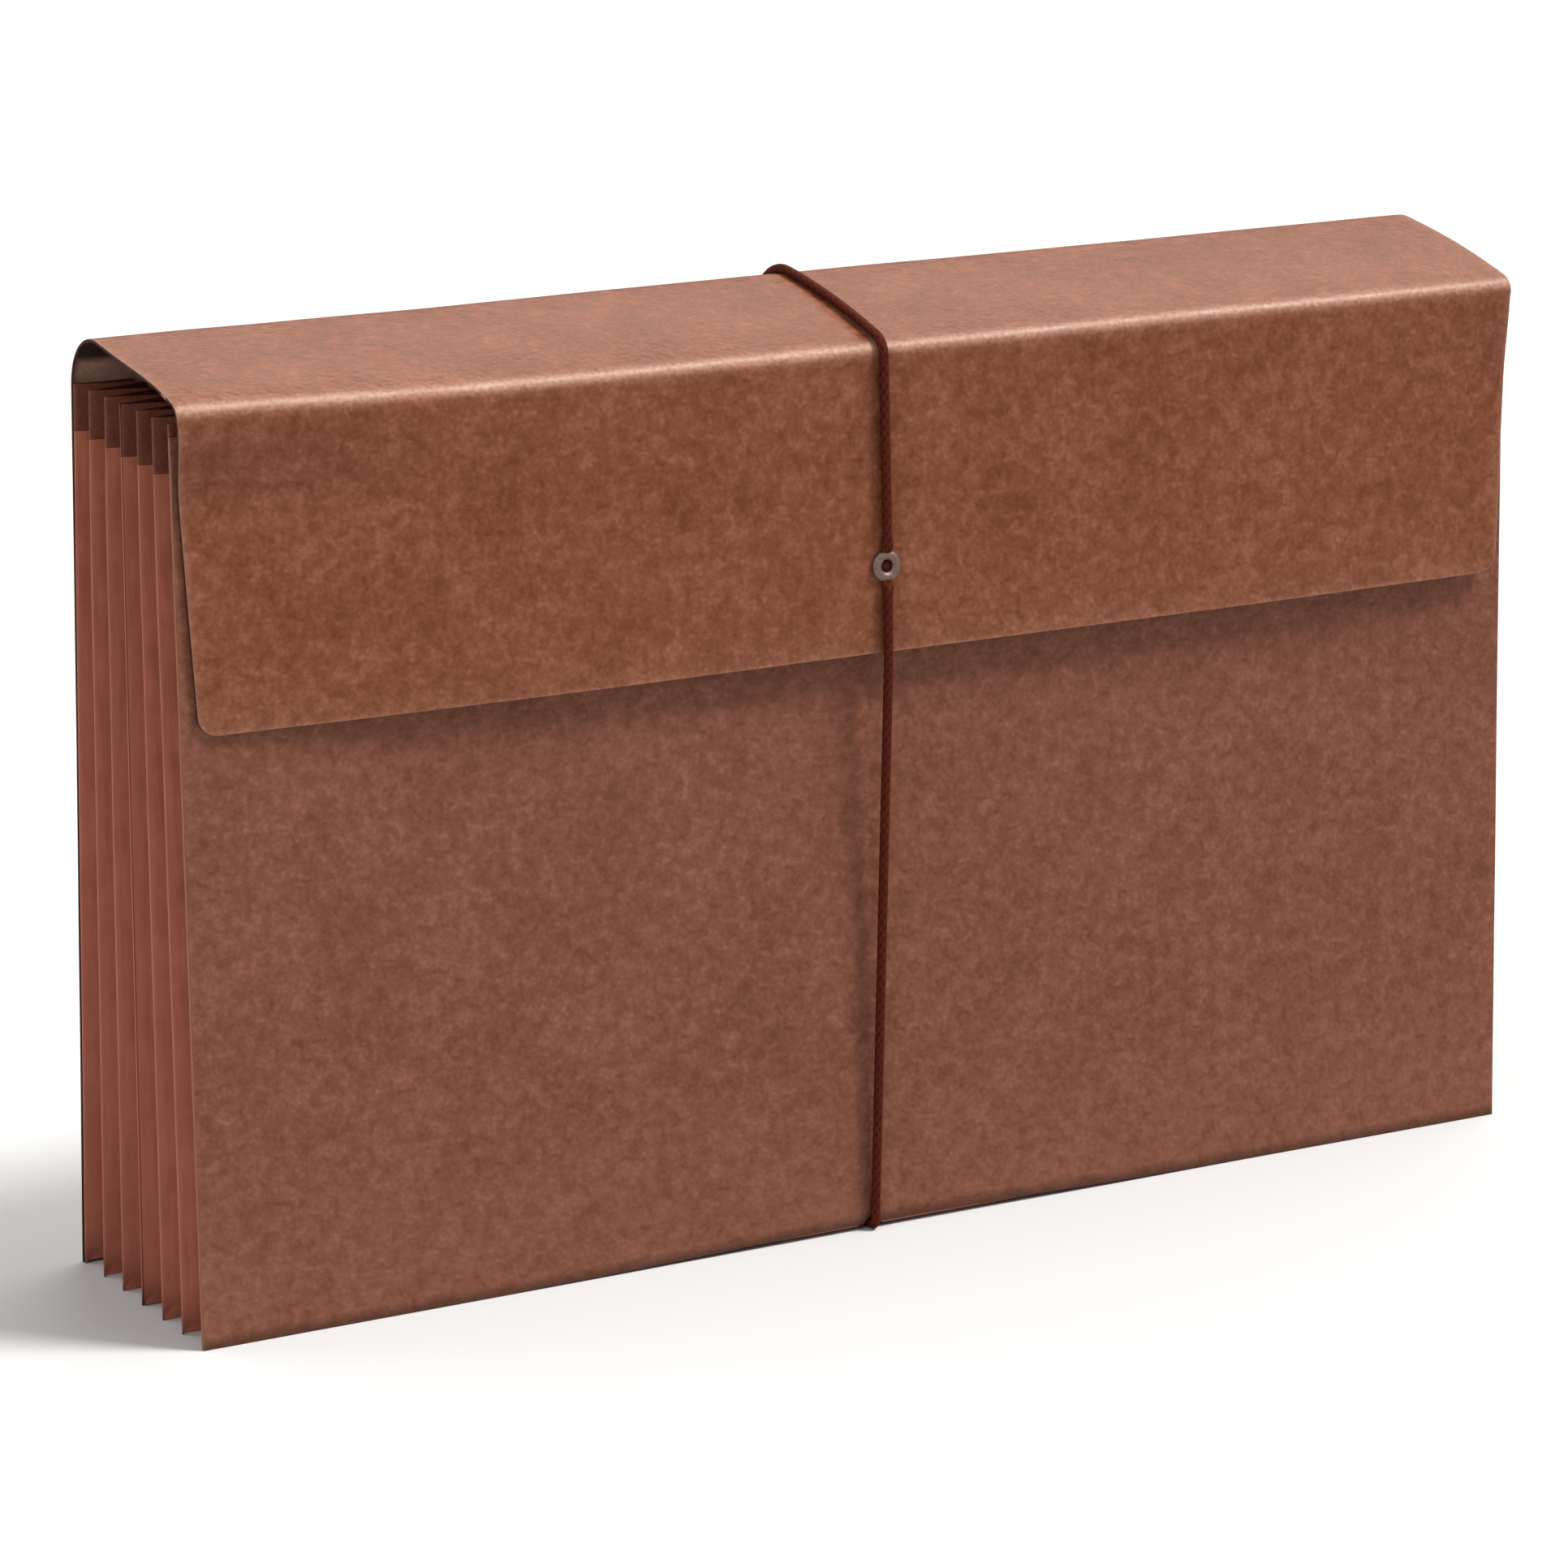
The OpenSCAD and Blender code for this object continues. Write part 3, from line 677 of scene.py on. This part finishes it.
def arc(c, r, a, b, steps, way):
    """Unit directions turning from a to b, through the side that way points to."""
    ta, tb = math.atan2(a[1], a[0]), math.atan2(b[1], b[0])
    tw = math.atan2(way[1], way[0])
    for lap in (-2 * math.pi, 0, 2 * math.pi):
        lo, hi = sorted((ta, tb + lap))
        if any(lo <= tw + m <= hi for m in (-2 * math.pi, 0, 2 * math.pi)) and hi - lo < 2 * math.pi:
            tb += lap
            break
    return [np.array([math.cos(ta + (tb - ta) * k / steps), math.sin(ta + (tb - ta) * k / steps)]) for k in range(steps + 1)]


NEAR = (0.0, 0.35, 1.0, 2.4, 5.0, 8.0, 11.0)


def fold_path(folds, along, across, width, i):
    """Middle line of the paper round fold i, from the middle of panel i to the middle of panel i + 1: points, directions
    away from the fold's axis, distances from the fold."""
    pts, out, far = [], [], []
    f = folds[i]
    if i == 0:
        u = np.array([0.0, 1.0]) if along is side_along else np.array([math.cos(LEAN), math.sin(LEAN)])
        flange = np.array([1.0, 0.0]) if along is side_along else np.array([-math.sin(LEAN), math.cos(LEAN)])
        for d in (19.5, 14, 9, 5, 2.4, 1.0, 0.35):
            pts.append(f + HINGE_R * u + d * flange), out.append(u), far.append(d)
        a = u
        way = -flange
    else:
        a = -across(i)
        for d in NEAR[:0:-1]:
            pts.append(f + HINGE_R * a - d * width / 22 * along(i)), out.append(a), far.append(d)
        way = along(i)
    if i == PLEATS // 2:
        b = np.array([-1.0, 0.0]) if along is side_along else np.array([0.0, -1.0])
        for m in arc(f, HINGE_R, a, b, 5, way):
            pts.append(f + HINGE_R * m), out.append(m), far.append(0.0)
        for s in (0.13, 0.26):
            g = np.array([0.0, -1.0]) if along is side_along else np.array([-1.0, 0.0])
            pts.append(pts[-1] + g * 0.13), out.append(b), far.append(0.0)
        return pts, out, far
    b = across(i + 1)
    for m in arc(f, HINGE_R, a, b, 8, way):
        pts.append(f + HINGE_R * m), out.append(m), far.append(0.0)
    for d in NEAR[1:]:
        pts.append(f + HINGE_R * b + d * width / 22 * along(i + 1)), out.append(b), far.append(d)
    return pts, out, far


def strip(name, low, high, rest, edge, material):
    """A closed strip of paper: low and high are (rows, section, 2 layers, 3) grids in one."""
    nr, ns = low.shape[:2]
    verts = np.concatenate([low.reshape(-1, 3), high.reshape(-1, 3)])
    at = lambda layer, r, s: layer * nr * ns + r * ns + s
    faces = []
    for r in range(nr - 1):
        for s in range(ns - 1):
            faces.append((at(1, r, s), at(1, r, s + 1), at(1, r + 1, s + 1), at(1, r + 1, s)))
            faces.append((at(0, r + 1, s), at(0, r + 1, s + 1), at(0, r, s + 1), at(0, r, s)))
        faces.append((at(0, r, 0), at(1, r, 0), at(1, r + 1, 0), at(0, r + 1, 0)))
        faces.append((at(1, r, ns - 1), at(0, r, ns - 1), at(0, r + 1, ns - 1), at(1, r + 1, ns - 1)))
    for s in range(ns - 1):
        faces.append((at(0, 0, s), at(0, 0, s + 1), at(1, 0, s + 1), at(1, 0, s)))
        faces.append((at(1, nr - 1, s), at(1, nr - 1, s + 1), at(0, nr - 1, s + 1), at(0, nr - 1, s)))
    f = faces[0]
    n = np.cross(verts[f[1]] - verts[f[0]], verts[f[2]] - verts[f[0]])
    if n @ (high[0, 0] - low[0, 0]) < 0:
        faces = [x[::-1] for x in faces]
    o = make(name, verts, faces, np.concatenate([rest, rest]), np.concatenate([edge, edge]), [material],
             sharp=math.radians(40))
    return o


# how far a fold takes on the paler fold tone: wear, and a painted highlight along the ridge
def fold_wear_and_highlight(far):
    return np.exp(-np.array(far) / 0.8)


MITRE = 0.03


def side_strip(name, i, flip_x, flip_y, thick, bottom, top, material):
    pts, out, far = fold_path(side_folds, side_along, side_across, PLEAT_W, i)
    inner = np.minimum(thick, 0.19 + 0.1 * np.array(far))
    grids = []
    for sign, h in ((-1, inner), (1, np.full(len(far), thick))):
        plan = np.array(pts) + sign * np.array(out) * h[:, None]
        q = (plan[:, 0] + GUSSET_X) / math.cos(PHI)
        foot = (LIFT + MITRE + q) / (1 + q / APEX) - 0.72 * np.exp(-np.maximum(q, 0) / 2.6)
        shares = np.concatenate([[0, 0.004, 0.015], np.linspace(0.05, 0.95, 19), [0.985, 1.0]]) if bottom is None \
            else np.array([0, 0.03, 0.25, 0.5, 0.75, 0.97, 1.0])
        grid = np.zeros((len(shares), len(pts), 3))
        for r, share in enumerate(shares):
            base = foot if bottom is None else np.full(len(pts), bottom)
            z = base + (top - base) * share
            k = tau(z)
            grid[r, :, 0] = -GUSSET_X + (plan[:, 0] + GUSSET_X) * k
            grid[r, :, 1] = plan[:, 1] * k
            grid[r, :, 2] = z
            for c in range(len(pts)):
                y0 = plan[c, 1]
                fade = max(0.0, min(1.0, (33.5 - abs(y0)) / 5)) * min(1.0, abs(y0) / 1.5 if i == 6 else 1.0)
                grid[r, c, 0] += fade * 0.28 * noise.noise(Vector((y0 / 9, z[c] / 46, 3.1 if flip_x else 8.4)))
        grids.append(grid)
    rest = grids[1].copy()
    sx, sy = (-1 if flip_x else 1), (-1 if flip_y else 1)
    for g in grids:
        g[..., 0] *= sx
        g[..., 1] *= sy
    rest[..., 1] = np.cumsum([0] + [np.linalg.norm(b - a) for a, b in zip(pts, pts[1:])])[None, :] + 40 * i + (500 if flip_y else 0)
    rest[..., 0] = 900 * flip_x
    edge = np.tile(fold_wear_and_highlight(far)[None, :], (rest.shape[0], 1))
    o = strip(name, grids[0], grids[1], rest.reshape(-1, 3), edge.reshape(-1), material)
    f = side_folds[i]
    if i < PLEATS // 2:
        d = (across_of(side_across, i) + side_across(i + 1))
        d /= np.linalg.norm(d)
        axis = np.array([-GUSSET_X - f[0], -f[1], APEX])
        d3 = np.array([d[0], d[1], -(d[0] * axis[0] + d[1] * axis[1]) / axis[2]])
        a, b = np.array([f[0], f[1], 0]) - d3 * HINGE_R, np.array([f[0], f[1], 0]) + d3 * HINGE_R
        for p in (a, b):
            p *= (sx, sy, 1)
        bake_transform(o)
    else:
        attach(o, f"{'right' if flip_x else 'left'}_{(7 if flip_y else 6):02d}")
    return o


def across_of(across, i):
    """Direction across the layer before fold i, which is the glued edge at fold 0."""
    if i:
        return across(i)
    return np.array([0.0, -1.0]) if across is side_across else np.array([-math.cos(LEAN), -math.sin(LEAN)])


def bottom_strip(name, i, flip_y):
    pts, out, far = fold_path(bottom_folds, bottom_along, bottom_across, BOTTOM_W, i)
    thick = 0.17
    grids = []
    middle = np.array([-130, -105, -80, -58, -38, -24, -16, -12, -10, -8.8, -7.8, -7, -6.3, -5.6, -4.8, -4, -3.2, -2.4, -1.7,
                       -1, -0.2, 0.8, 2, 4, 8, 16, 28, 44, 62, 82, 105, 130.0])
    for sign in (-1, 1):
        plan = np.array(pts) + sign * np.array(out) * thick
        end = np.minimum(GUSSET_X - MITRE - (plan[:, 1] - LIFT) / math.cos(PHI), GUSSET_X - 0.1)
        grid = np.zeros((len(middle) + 6, len(pts), 3))
        for r in range(len(middle) + 6):
            if r < 3:
                x = -end + (0, 0.9, 3.7)[r]
            elif r > len(middle) + 2:
                x = end - (3.7, 0.9, 0)[r - len(middle) - 3]
            else:
                x = np.full(len(pts), middle[r - 3])
            over = np.exp(-((x - CORD_X_LOW) / 3.1) ** 4) * (2 * CORD_R + 0.5)
            grid[r, :, 0] = x
            grid[r, :, 1] = plan[:, 0]
            grid[r, :, 2] = plan[:, 1] + np.maximum(0, over - np.array(pts)[:, 1])
        grids.append(grid)
    rest = grids[1][..., [1, 2, 0]].copy()
    rest[..., 1] = np.cumsum([0] + [np.linalg.norm(b - a) for a, b in zip(pts, pts[1:])])[None, :] + 40 * i + 1500
    rest[..., 0] = 300 * flip_y
    sy = -1 if flip_y else 1
    for g in grids:
        g[..., 1] *= sy
    edge = np.tile(fold_wear_and_highlight(far)[None, :], (rest.shape[0], 1))
    o = strip(name, grids[0], grids[1], rest.reshape(-1, 3), edge.reshape(-1), GUSSET)
    if i < PLEATS // 2:
        d = across_of(bottom_across, i) + bottom_across(i + 1)
        d /= np.linalg.norm(d)
        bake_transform(o)
    else:
        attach(o, f"bottom_{(7 if flip_y else 6):02d}")
    return o


for flip_x, side in ((False, "left"), (True, "right")):
    for flip_y in (False, True):
        for i in range(PLEATS // 2 + 1):
            number = 12 - i if flip_y else i
            tag = f"{number:02d}" + (("b" if flip_y else "a") if i == 6 else "")
            o = side_strip(f"{side}_paper_{tag}", i, flip_x, flip_y, 0.17, None, GUSSET_TOP - 0.5, SIDE)
            if i == 0:
                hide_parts("gusset_flange_front" if flip_y else "gusset_flange_back")
            else:
                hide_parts(f"{side}_pleat_{(13 - i if flip_y else i):02d}")
            side_strip(f"{side}_tape_{tag}", i, flip_x, flip_y, 0.225, 210.6 - 2.2 * (12 - i if flip_y else i) / 12, GUSSET_TOP, TAPE)
for flip_y in (False, True):
    for i in range(PLEATS // 2 + 1):
        number = 12 - i if flip_y else i
        tag = f"{number:02d}" + (("b" if flip_y else "a") if i == 6 else "")
        o = bottom_strip(f"bottom_paper_{tag}", i, flip_y)
        if i:
            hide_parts(f"bottom_pleat_{(13 - i if flip_y else i):02d}")

# ---- eyelet --------------------------------------------------------------------------
flap_n = np.array([0, -math.cos(FLAP_TURN), math.sin(FLAP_TURN)])
flap_v = np.array([0, math.sin(FLAP_TURN), math.cos(FLAP_TURN)])
flap_x = np.array([1.0, 0, 0])
eye = np.array([CORD_X_TOP, eyelet_c[0], eyelet_c[1]])


def lathe(name, profile, steps, material):
    m = len(profile)
    verts, rest, faces = [], [], []
    for k in range(steps):
        a = 2 * math.pi * k / steps
        for r, h in profile:
            verts.append(eye + flap_x * r * math.cos(a) + flap_v * r * math.sin(a) + flap_n * h)
            rest.append((r * math.cos(a), 40 * k / steps, r + 3 * h))
    for k in range(steps):
        for s in range(m):
            a, b = k * m, ((k + 1) % steps) * m
            faces.append((a + s, b + s, b + (s + 1) % m, a + (s + 1) % m))
    verts = np.array(verts)
    f = faces[0]
    n = np.cross(verts[f[1]] - verts[f[0]], verts[f[2]] - verts[f[0]])
    p0, p1 = np.array(profile[0]), np.array(profile[1])
    side = np.array([p1[1] - p0[1], -(p1[0] - p0[0])])       # outward for a profile that runs counter-clockwise
    if n @ (flap_x * side[0] + flap_n * side[1]) < 0:
        faces = [x[::-1] for x in faces]
    return make(name, verts, faces, rest, np.zeros(len(verts)), [material], sharp=math.radians(60))


t0 = FLAP_T
outer_rim = [(3.9, 0.16), (3.98, 0.42), (3.92, 0.72), (3.72, 1.02), (3.37, 1.26), (2.92, 1.38), (2.42, 1.34), (1.98, 1.14),
             (1.64, 0.8), (1.5, 0.42), (1.58, 0.14), (1.8, -0.05)]
inner_rim = [(1.8, -t0), (1.84, -t0 - 0.24), (2.05, -t0 - 0.46), (2.45, -t0 - 0.52), (2.85, -t0 - 0.40), (3.1, -t0 - 0.2),
             (3.15, -t0 - 0.03), (2.22, -t0 - 0.02), (2.22, 0.1), (3.3, 0.16)]
eyelet = lathe("eyelet_ring", (outer_rim + inner_rim), 72, METAL)
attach(eyelet, "flap_front")
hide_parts("eyelet")


# ---- cord -----------------------------------------------------------------------------
def smooth_line(points, spacing):
    """Points evenly spaced along a rounded line through the given ones."""
    p = np.asarray(points, float)
    q = np.concatenate([[2 * p[0] - p[1]], p, [2 * p[-1] - p[-2]]])
    fine = []
    for k in range(1, len(q) - 2):
        a, b, c, d = q[k - 1], q[k], q[k + 1], q[k + 2]
        for t in np.linspace(0, 1, 24, endpoint=False):
            fine.append(0.5 * ((2 * b) + (c - a) * t + (2 * a - 5 * b + 4 * c - d) * t ** 2 + (3 * b - a - 3 * c + d) * t ** 3))
    fine.append(p[-1])
    fine = np.array(fine)
    s = np.concatenate([[0], np.cumsum(np.linalg.norm(np.diff(fine, axis=0), axis=1))])
    n = max(3, int(round(s[-1] / spacing)) + 1)
    at = np.linspace(0, s[-1], n)
    return np.stack([np.interp(at, s, fine[:, k]) for k in range(3)], 1), at


def tube(name, points, radius, start_run=0.0, spacing=0.42, sides=20, wide=None, thick=None, balls=(False, False)):
    """Braided cord along the points: crossing yarns stand a little proud. wide and thick give shares of the radius at
    distances along it; balls says which ends are round."""
    line, s = smooth_line(points, spacing)
    tangent = np.gradient(line, axis=0)
    tangent /= np.linalg.norm(tangent, axis=1)[:, None]
    rings = [(line[k], tangent[k], s[k], 1.0) for k in range(len(line))]
    for end in (0, 1):
        k, way = (0, -1) if end == 0 else (len(line) - 1, 1)
        if balls[end]:
            more = [(line[k] + way * tangent[k] * radius * math.sin(a), tangent[k], s[k] + way * radius * math.sin(a), math.cos(a))
                    for a in np.radians((22, 44, 64, 80))]
            rings = more[::-1] + rings if end == 0 else rings + more
    frame_u = np.array([1.0, 0.0, 0.0])
    verts, rest, lie, faces = [], [], [], []
    for centre, ahead, run_at, share in rings:
        frame_u = frame_u - ahead * (frame_u @ ahead)
        frame_u /= np.linalg.norm(frame_u)
        frame_v = np.cross(ahead, frame_u)
        ru = radius * share * (1.0 if wide is None else float(np.interp(run_at, *wide)))
        rv = radius * share * (1.0 if thick is None else float(np.interp(run_at, *thick)))
        for j in range(sides):
            a = 2 * math.pi * j / sides
            run = (run_at + start_run) * 1.35
            one, two = math.cos(4 * a + run * 1.6), math.cos(4 * a - run * 1.6)
            over = max(one, two) if math.sin(8 * a) * math.sin(run * 3.2) > 0 else 0.75 * max(one, two)
            height = 0.5 + 0.5 * over
            r = 0.93 + 0.07 * height
            verts.append(centre + r * (ru * math.cos(a) * frame_u + rv * math.sin(a) * frame_v))
            rest.append((2.5 * math.cos(a), 2.5 * math.sin(a), run_at + start_run))
            lie.append(height)
    n = len(rings)
    for k in range(n - 1):
        for j in range(sides):
            a, b = k * sides, (k + 1) * sides
            faces.append((a + j, a + (j + 1) % sides, b + (j + 1) % sides, b + j))
    verts += [rings[0][0], rings[-1][0]]
    rest += [(0, 0, rings[0][2] + start_run), (0, 0, rings[-1][2] + start_run)]
    lie += [0.3, 0.3]
    for j in range(sides):
        faces.append((n * sides, (j + 1) % sides, j))
        faces.append((n * sides + 1, (n - 1) * sides + j, (n - 1) * sides + (j + 1) % sides))
    o = make(name, verts, faces, rest, lie, [CORD], sharp=math.radians(70))
    return o


def at3(x, p):
    return np.array([x, p[0], p[1]])


OFF = CORD_R + 0.05
LOW = CORD_R + 0.06                       # middle of the run under the gusset
corner_r = CORD_Y - (HALF + 0.1)
# up the back
low_back = [np.array([CORD_X_LOW, CORD_Y - corner_r * (1 - math.sin(a)), LOW + corner_r * (1 - math.cos(a))])
            for a in np.linspace(0, math.pi / 2, 6)]
up_back = [np.array([CORD_X_LOW + (CORD_X_TOP - CORD_X_LOW) * k,
                     CORD_Y + (shoulder_y + OFF * math.cos(LEAN) - CORD_Y) * k,
                     LOW + corner_r + (SHOULDER_Z + OFF * math.sin(LEAN) - LOW - corner_r) * k]) for k in np.linspace(0, 1, 14)[1:]]
piece = tube("cord_up_back", low_back + up_back, CORD_R, 0)
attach(piece, "back")
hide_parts("cord_back")
# over the shoulder
line = [at3(CORD_X_TOP, shoulder_c + (SHOULDER_R + OFF) * outward(math.pi / 2 - LEAN - turn * k / 16)) for k in range(17)]
piece = tube("cord_over_shoulder", line, CORD_R, 222)
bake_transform(piece)
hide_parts("cord_shoulder")
# across the top
line = [at3(CORD_X_TOP, top_c + (TOP_R + OFF) * outward(SLOPE_TOP - (SLOPE_TOP - slope_round) * k / 12)) for k in range(13)]
piece = tube("cord_across_top", line, CORD_R, 245)
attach(piece, "flap_top")
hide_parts("cord_top")
# round the crease
line = [at3(CORD_X_TOP, crease_c + (CREASE_R + OFF) * outward(slope_round - bend_turn * k / 10)) for k in range(11)]
piece = tube("cord_round_crease", line, CORD_R, 292)
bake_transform(piece)
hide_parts("cord_crease")
# down the flap and under the eyelet's rim, which presses it flat
path = [(d_start, OFF)] + [(d, OFF) for d in np.linspace(d_start, EYELET_DROP - 8, 6)[1:]]
path += [(EYELET_DROP - 6.4, OFF), (EYELET_DROP - 5.2, OFF - 0.1), (EYELET_DROP - 4.2, OFF - 0.42), (EYELET_DROP - 2.6, OFF - 0.62)]
total = EYELET_DROP - 2.6 - d_start
piece = tube("cord_down_flap", [at3(CORD_X_TOP, on_flap(d, o)) for d, o in path], CORD_R, 297,
             wide=([0, total - 5.4, total - 2.6, total], [1, 1, 1.34, 1.3]), thick=([0, total - 4.2, total - 1.6, total], [1, 1, 0.6, 0.45]))
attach(piece, "flap_front")
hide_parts("cord_flap")
# out from under the rim, over the flap's edge and down the front
path = [(2.6, OFF - 0.62), (4.2, OFF - 0.42), (5.2, OFF - 0.1), (6.4, OFF), (9, OFF), (13, OFF), (17, OFF), (20.5, OFF + 0.05)]
path = [at3(strand_x(on_flap(EYELET_DROP + d, o)[1]), on_flap(EYELET_DROP + d, o)) for d, o in path]
path += [np.array([strand_x(z), -CORD_Y, z]) for z in np.linspace(LINK_Z - 3, STRAND_END, 13)]
piece = tube("cord_front_run", path, CORD_R, 352, wide=([0, 2.6, 5.4], [1.3, 1.34, 1]), thick=([0, 1.6, 4.2], [0.45, 0.6, 1]),
             balls=(False, True))
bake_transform(piece)
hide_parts("cord_link", "cord_front")
RUN_FRONT = eyelet_c[1] - 2.6 - CORNER_UP
line, at = smooth_line(path, 2.0)
# round the front corner
line = [np.array([strand_x(z), -CORD_Y, z]) for z in (CORNER_UP, 12, 8, 5)]
line += [np.array([CORD_X_LOW, -CORD_Y + corner_r * (1 - math.cos(a)), LOW + corner_r * (1 - math.sin(a))])
         for a in np.linspace(0, math.pi / 2, 6)]
piece = tube("cord_front_corner", line, CORD_R, 352 + RUN_FRONT, balls=(True, False),
             wide=([0, 11, 13], [0.92, 0.92, 1]), thick=([0, 11, 13], [0.92, 0.92, 1]))
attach(piece, "front")
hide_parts("cord_corner")
# under the gusset
line = [np.array([CORD_X_LOW, y, LOW]) for y in np.linspace(-CORD_Y + corner_r, CORD_Y - corner_r, 22)]
piece = tube("cord_under", line, CORD_R, 527)
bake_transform(piece)
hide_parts("cord_bottom")
# the cord's ends inside the eyelet
# yarn heights set the colour here too: painted shade where the yarns lie low
bead, bead_rest, bead_lie, bead_faces = [eye + flap_n * 0.62], [(0, 0, 640)], [0.7], []
for k, (r, h) in enumerate([(0.42, 0.6), (0.8, 0.53), (1.12, 0.42), (1.34, 0.28), (1.44, 0.12)]):
    for j in range(28):
        a = 2 * math.pi * j / 28
        yarn = 0.5 + 0.5 * math.cos(7 * a + 2.4 * k)
        bead.append(eye + flap_x * r * math.cos(a) + flap_v * r * math.sin(a) + flap_n * (h + 0.05 * yarn))
        bead_rest.append((r * math.cos(a), r * math.sin(a), 640 + h))
        bead_lie.append(0.25 + 0.5 * yarn)
for j in range(28):
    bead_faces.append((0, 1 + j, 1 + (j + 1) % 28))
    for k in range(4):
        bead_faces.append((1 + 28 * k + j, 1 + 28 * (k + 1) + j, 1 + 28 * (k + 1) + (j + 1) % 28, 1 + 28 * k + (j + 1) % 28))
bead_faces.append(tuple(1 + 28 * 4 + j for j in range(27, -1, -1)))
piece = make("cord_ends_in_eyelet", bead, bead_faces, bead_rest, bead_lie, [CORD])
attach(piece, "flap_front")
# the knot behind the eyelet
knot = []
for k in range(49):
    a = 2 * math.pi * k / 48
    kx, ky, kz = math.sin(a) + 2 * math.sin(2 * a), math.cos(a) - 2 * math.cos(2 * a), -math.sin(3 * a)
    knot.append(eye + flap_x * kx * 0.62 + flap_v * ky * 0.62 - flap_n * (t0 + 0.6 + 1.15 + 0.42 * kz))
knot[-1] = knot[0]
piece = tube("cord_end_knot", knot, 0.82, 610)
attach(piece, "cord_link")
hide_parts("cord_knot")

# ---- floor and light ----------------------------------------------------------------------
me = bpy.data.meshes.new("floor")
me.from_pydata([(-30, -30, 0), (30, -30, 0), (30, 30, 0), (-30, 30, 0)], [], [(0, 1, 2, 3)])
floor = bpy.data.objects.new("floor", me)
bpy.context.scene.collection.objects.link(floor)
m, t, shader = nodes_of("floor_white")
shader.inputs["Base Color"].default_value = (0.55, 0.55, 0.55, 1)
shader.inputs["Roughness"].default_value = 0.9
shader.inputs["Specular IOR Level"].default_value = 0.1
me.materials.append(m)

world = bpy.data.worlds.new("studio")
world.use_nodes = True
world.node_tree.nodes["Background"].inputs["Color"].default_value = (1.0, 0.995, 0.99, 1)
world.node_tree.nodes["Background"].inputs["Strength"].default_value = 0.38
bpy.context.scene.world = world

sun = bpy.data.lights.new("key", "SUN")
sun.energy = 3.9
sun.angle = math.radians(16)
sun.color = (1.0, 0.985, 0.965)
key = bpy.data.objects.new("key", sun)
key.rotation_mode = "QUATERNION"
key.rotation_quaternion = Vector((-1.55, 1.0, -2.5)).to_track_quat("-Z", "Y")
bpy.context.scene.collection.objects.link(key)


def area(name, where, towards, size, power, colour=(1, 1, 1)):
    light = bpy.data.lights.new(name, "AREA")
    light.shape = "RECTANGLE"
    light.size, light.size_y = size
    light.energy = power
    light.color = colour
    o = bpy.data.objects.new(name, light)
    o.location = where
    o.rotation_mode = "QUATERNION"
    o.rotation_quaternion = (Vector(towards) - Vector(where)).to_track_quat("-Z", "Y")
    bpy.context.scene.collection.objects.link(o)
    return o


area("top", (0.9, -0.05, 2.5), (0, 0, 0.2), (2.0, 2.0), 36)
area("back", (1.6, 2.2, 2.2), (0, 0, 0.2), (2.4, 1.2), 26, (1.0, 0.985, 0.88))
area("left", (-2.2, -0.8, 1.3), (-0.18, 0, 0.12), (1.7, 1.7), 21)
area("low", (-1.6, 1.5, 1.7), (-0.3, 0.1, 0), (1.6, 1.6), 18)

view = bpy.context.scene.view_settings
view.view_transform = "Standard"
view.look = "None"
view.exposure = 0.0
view.gamma = 1.0
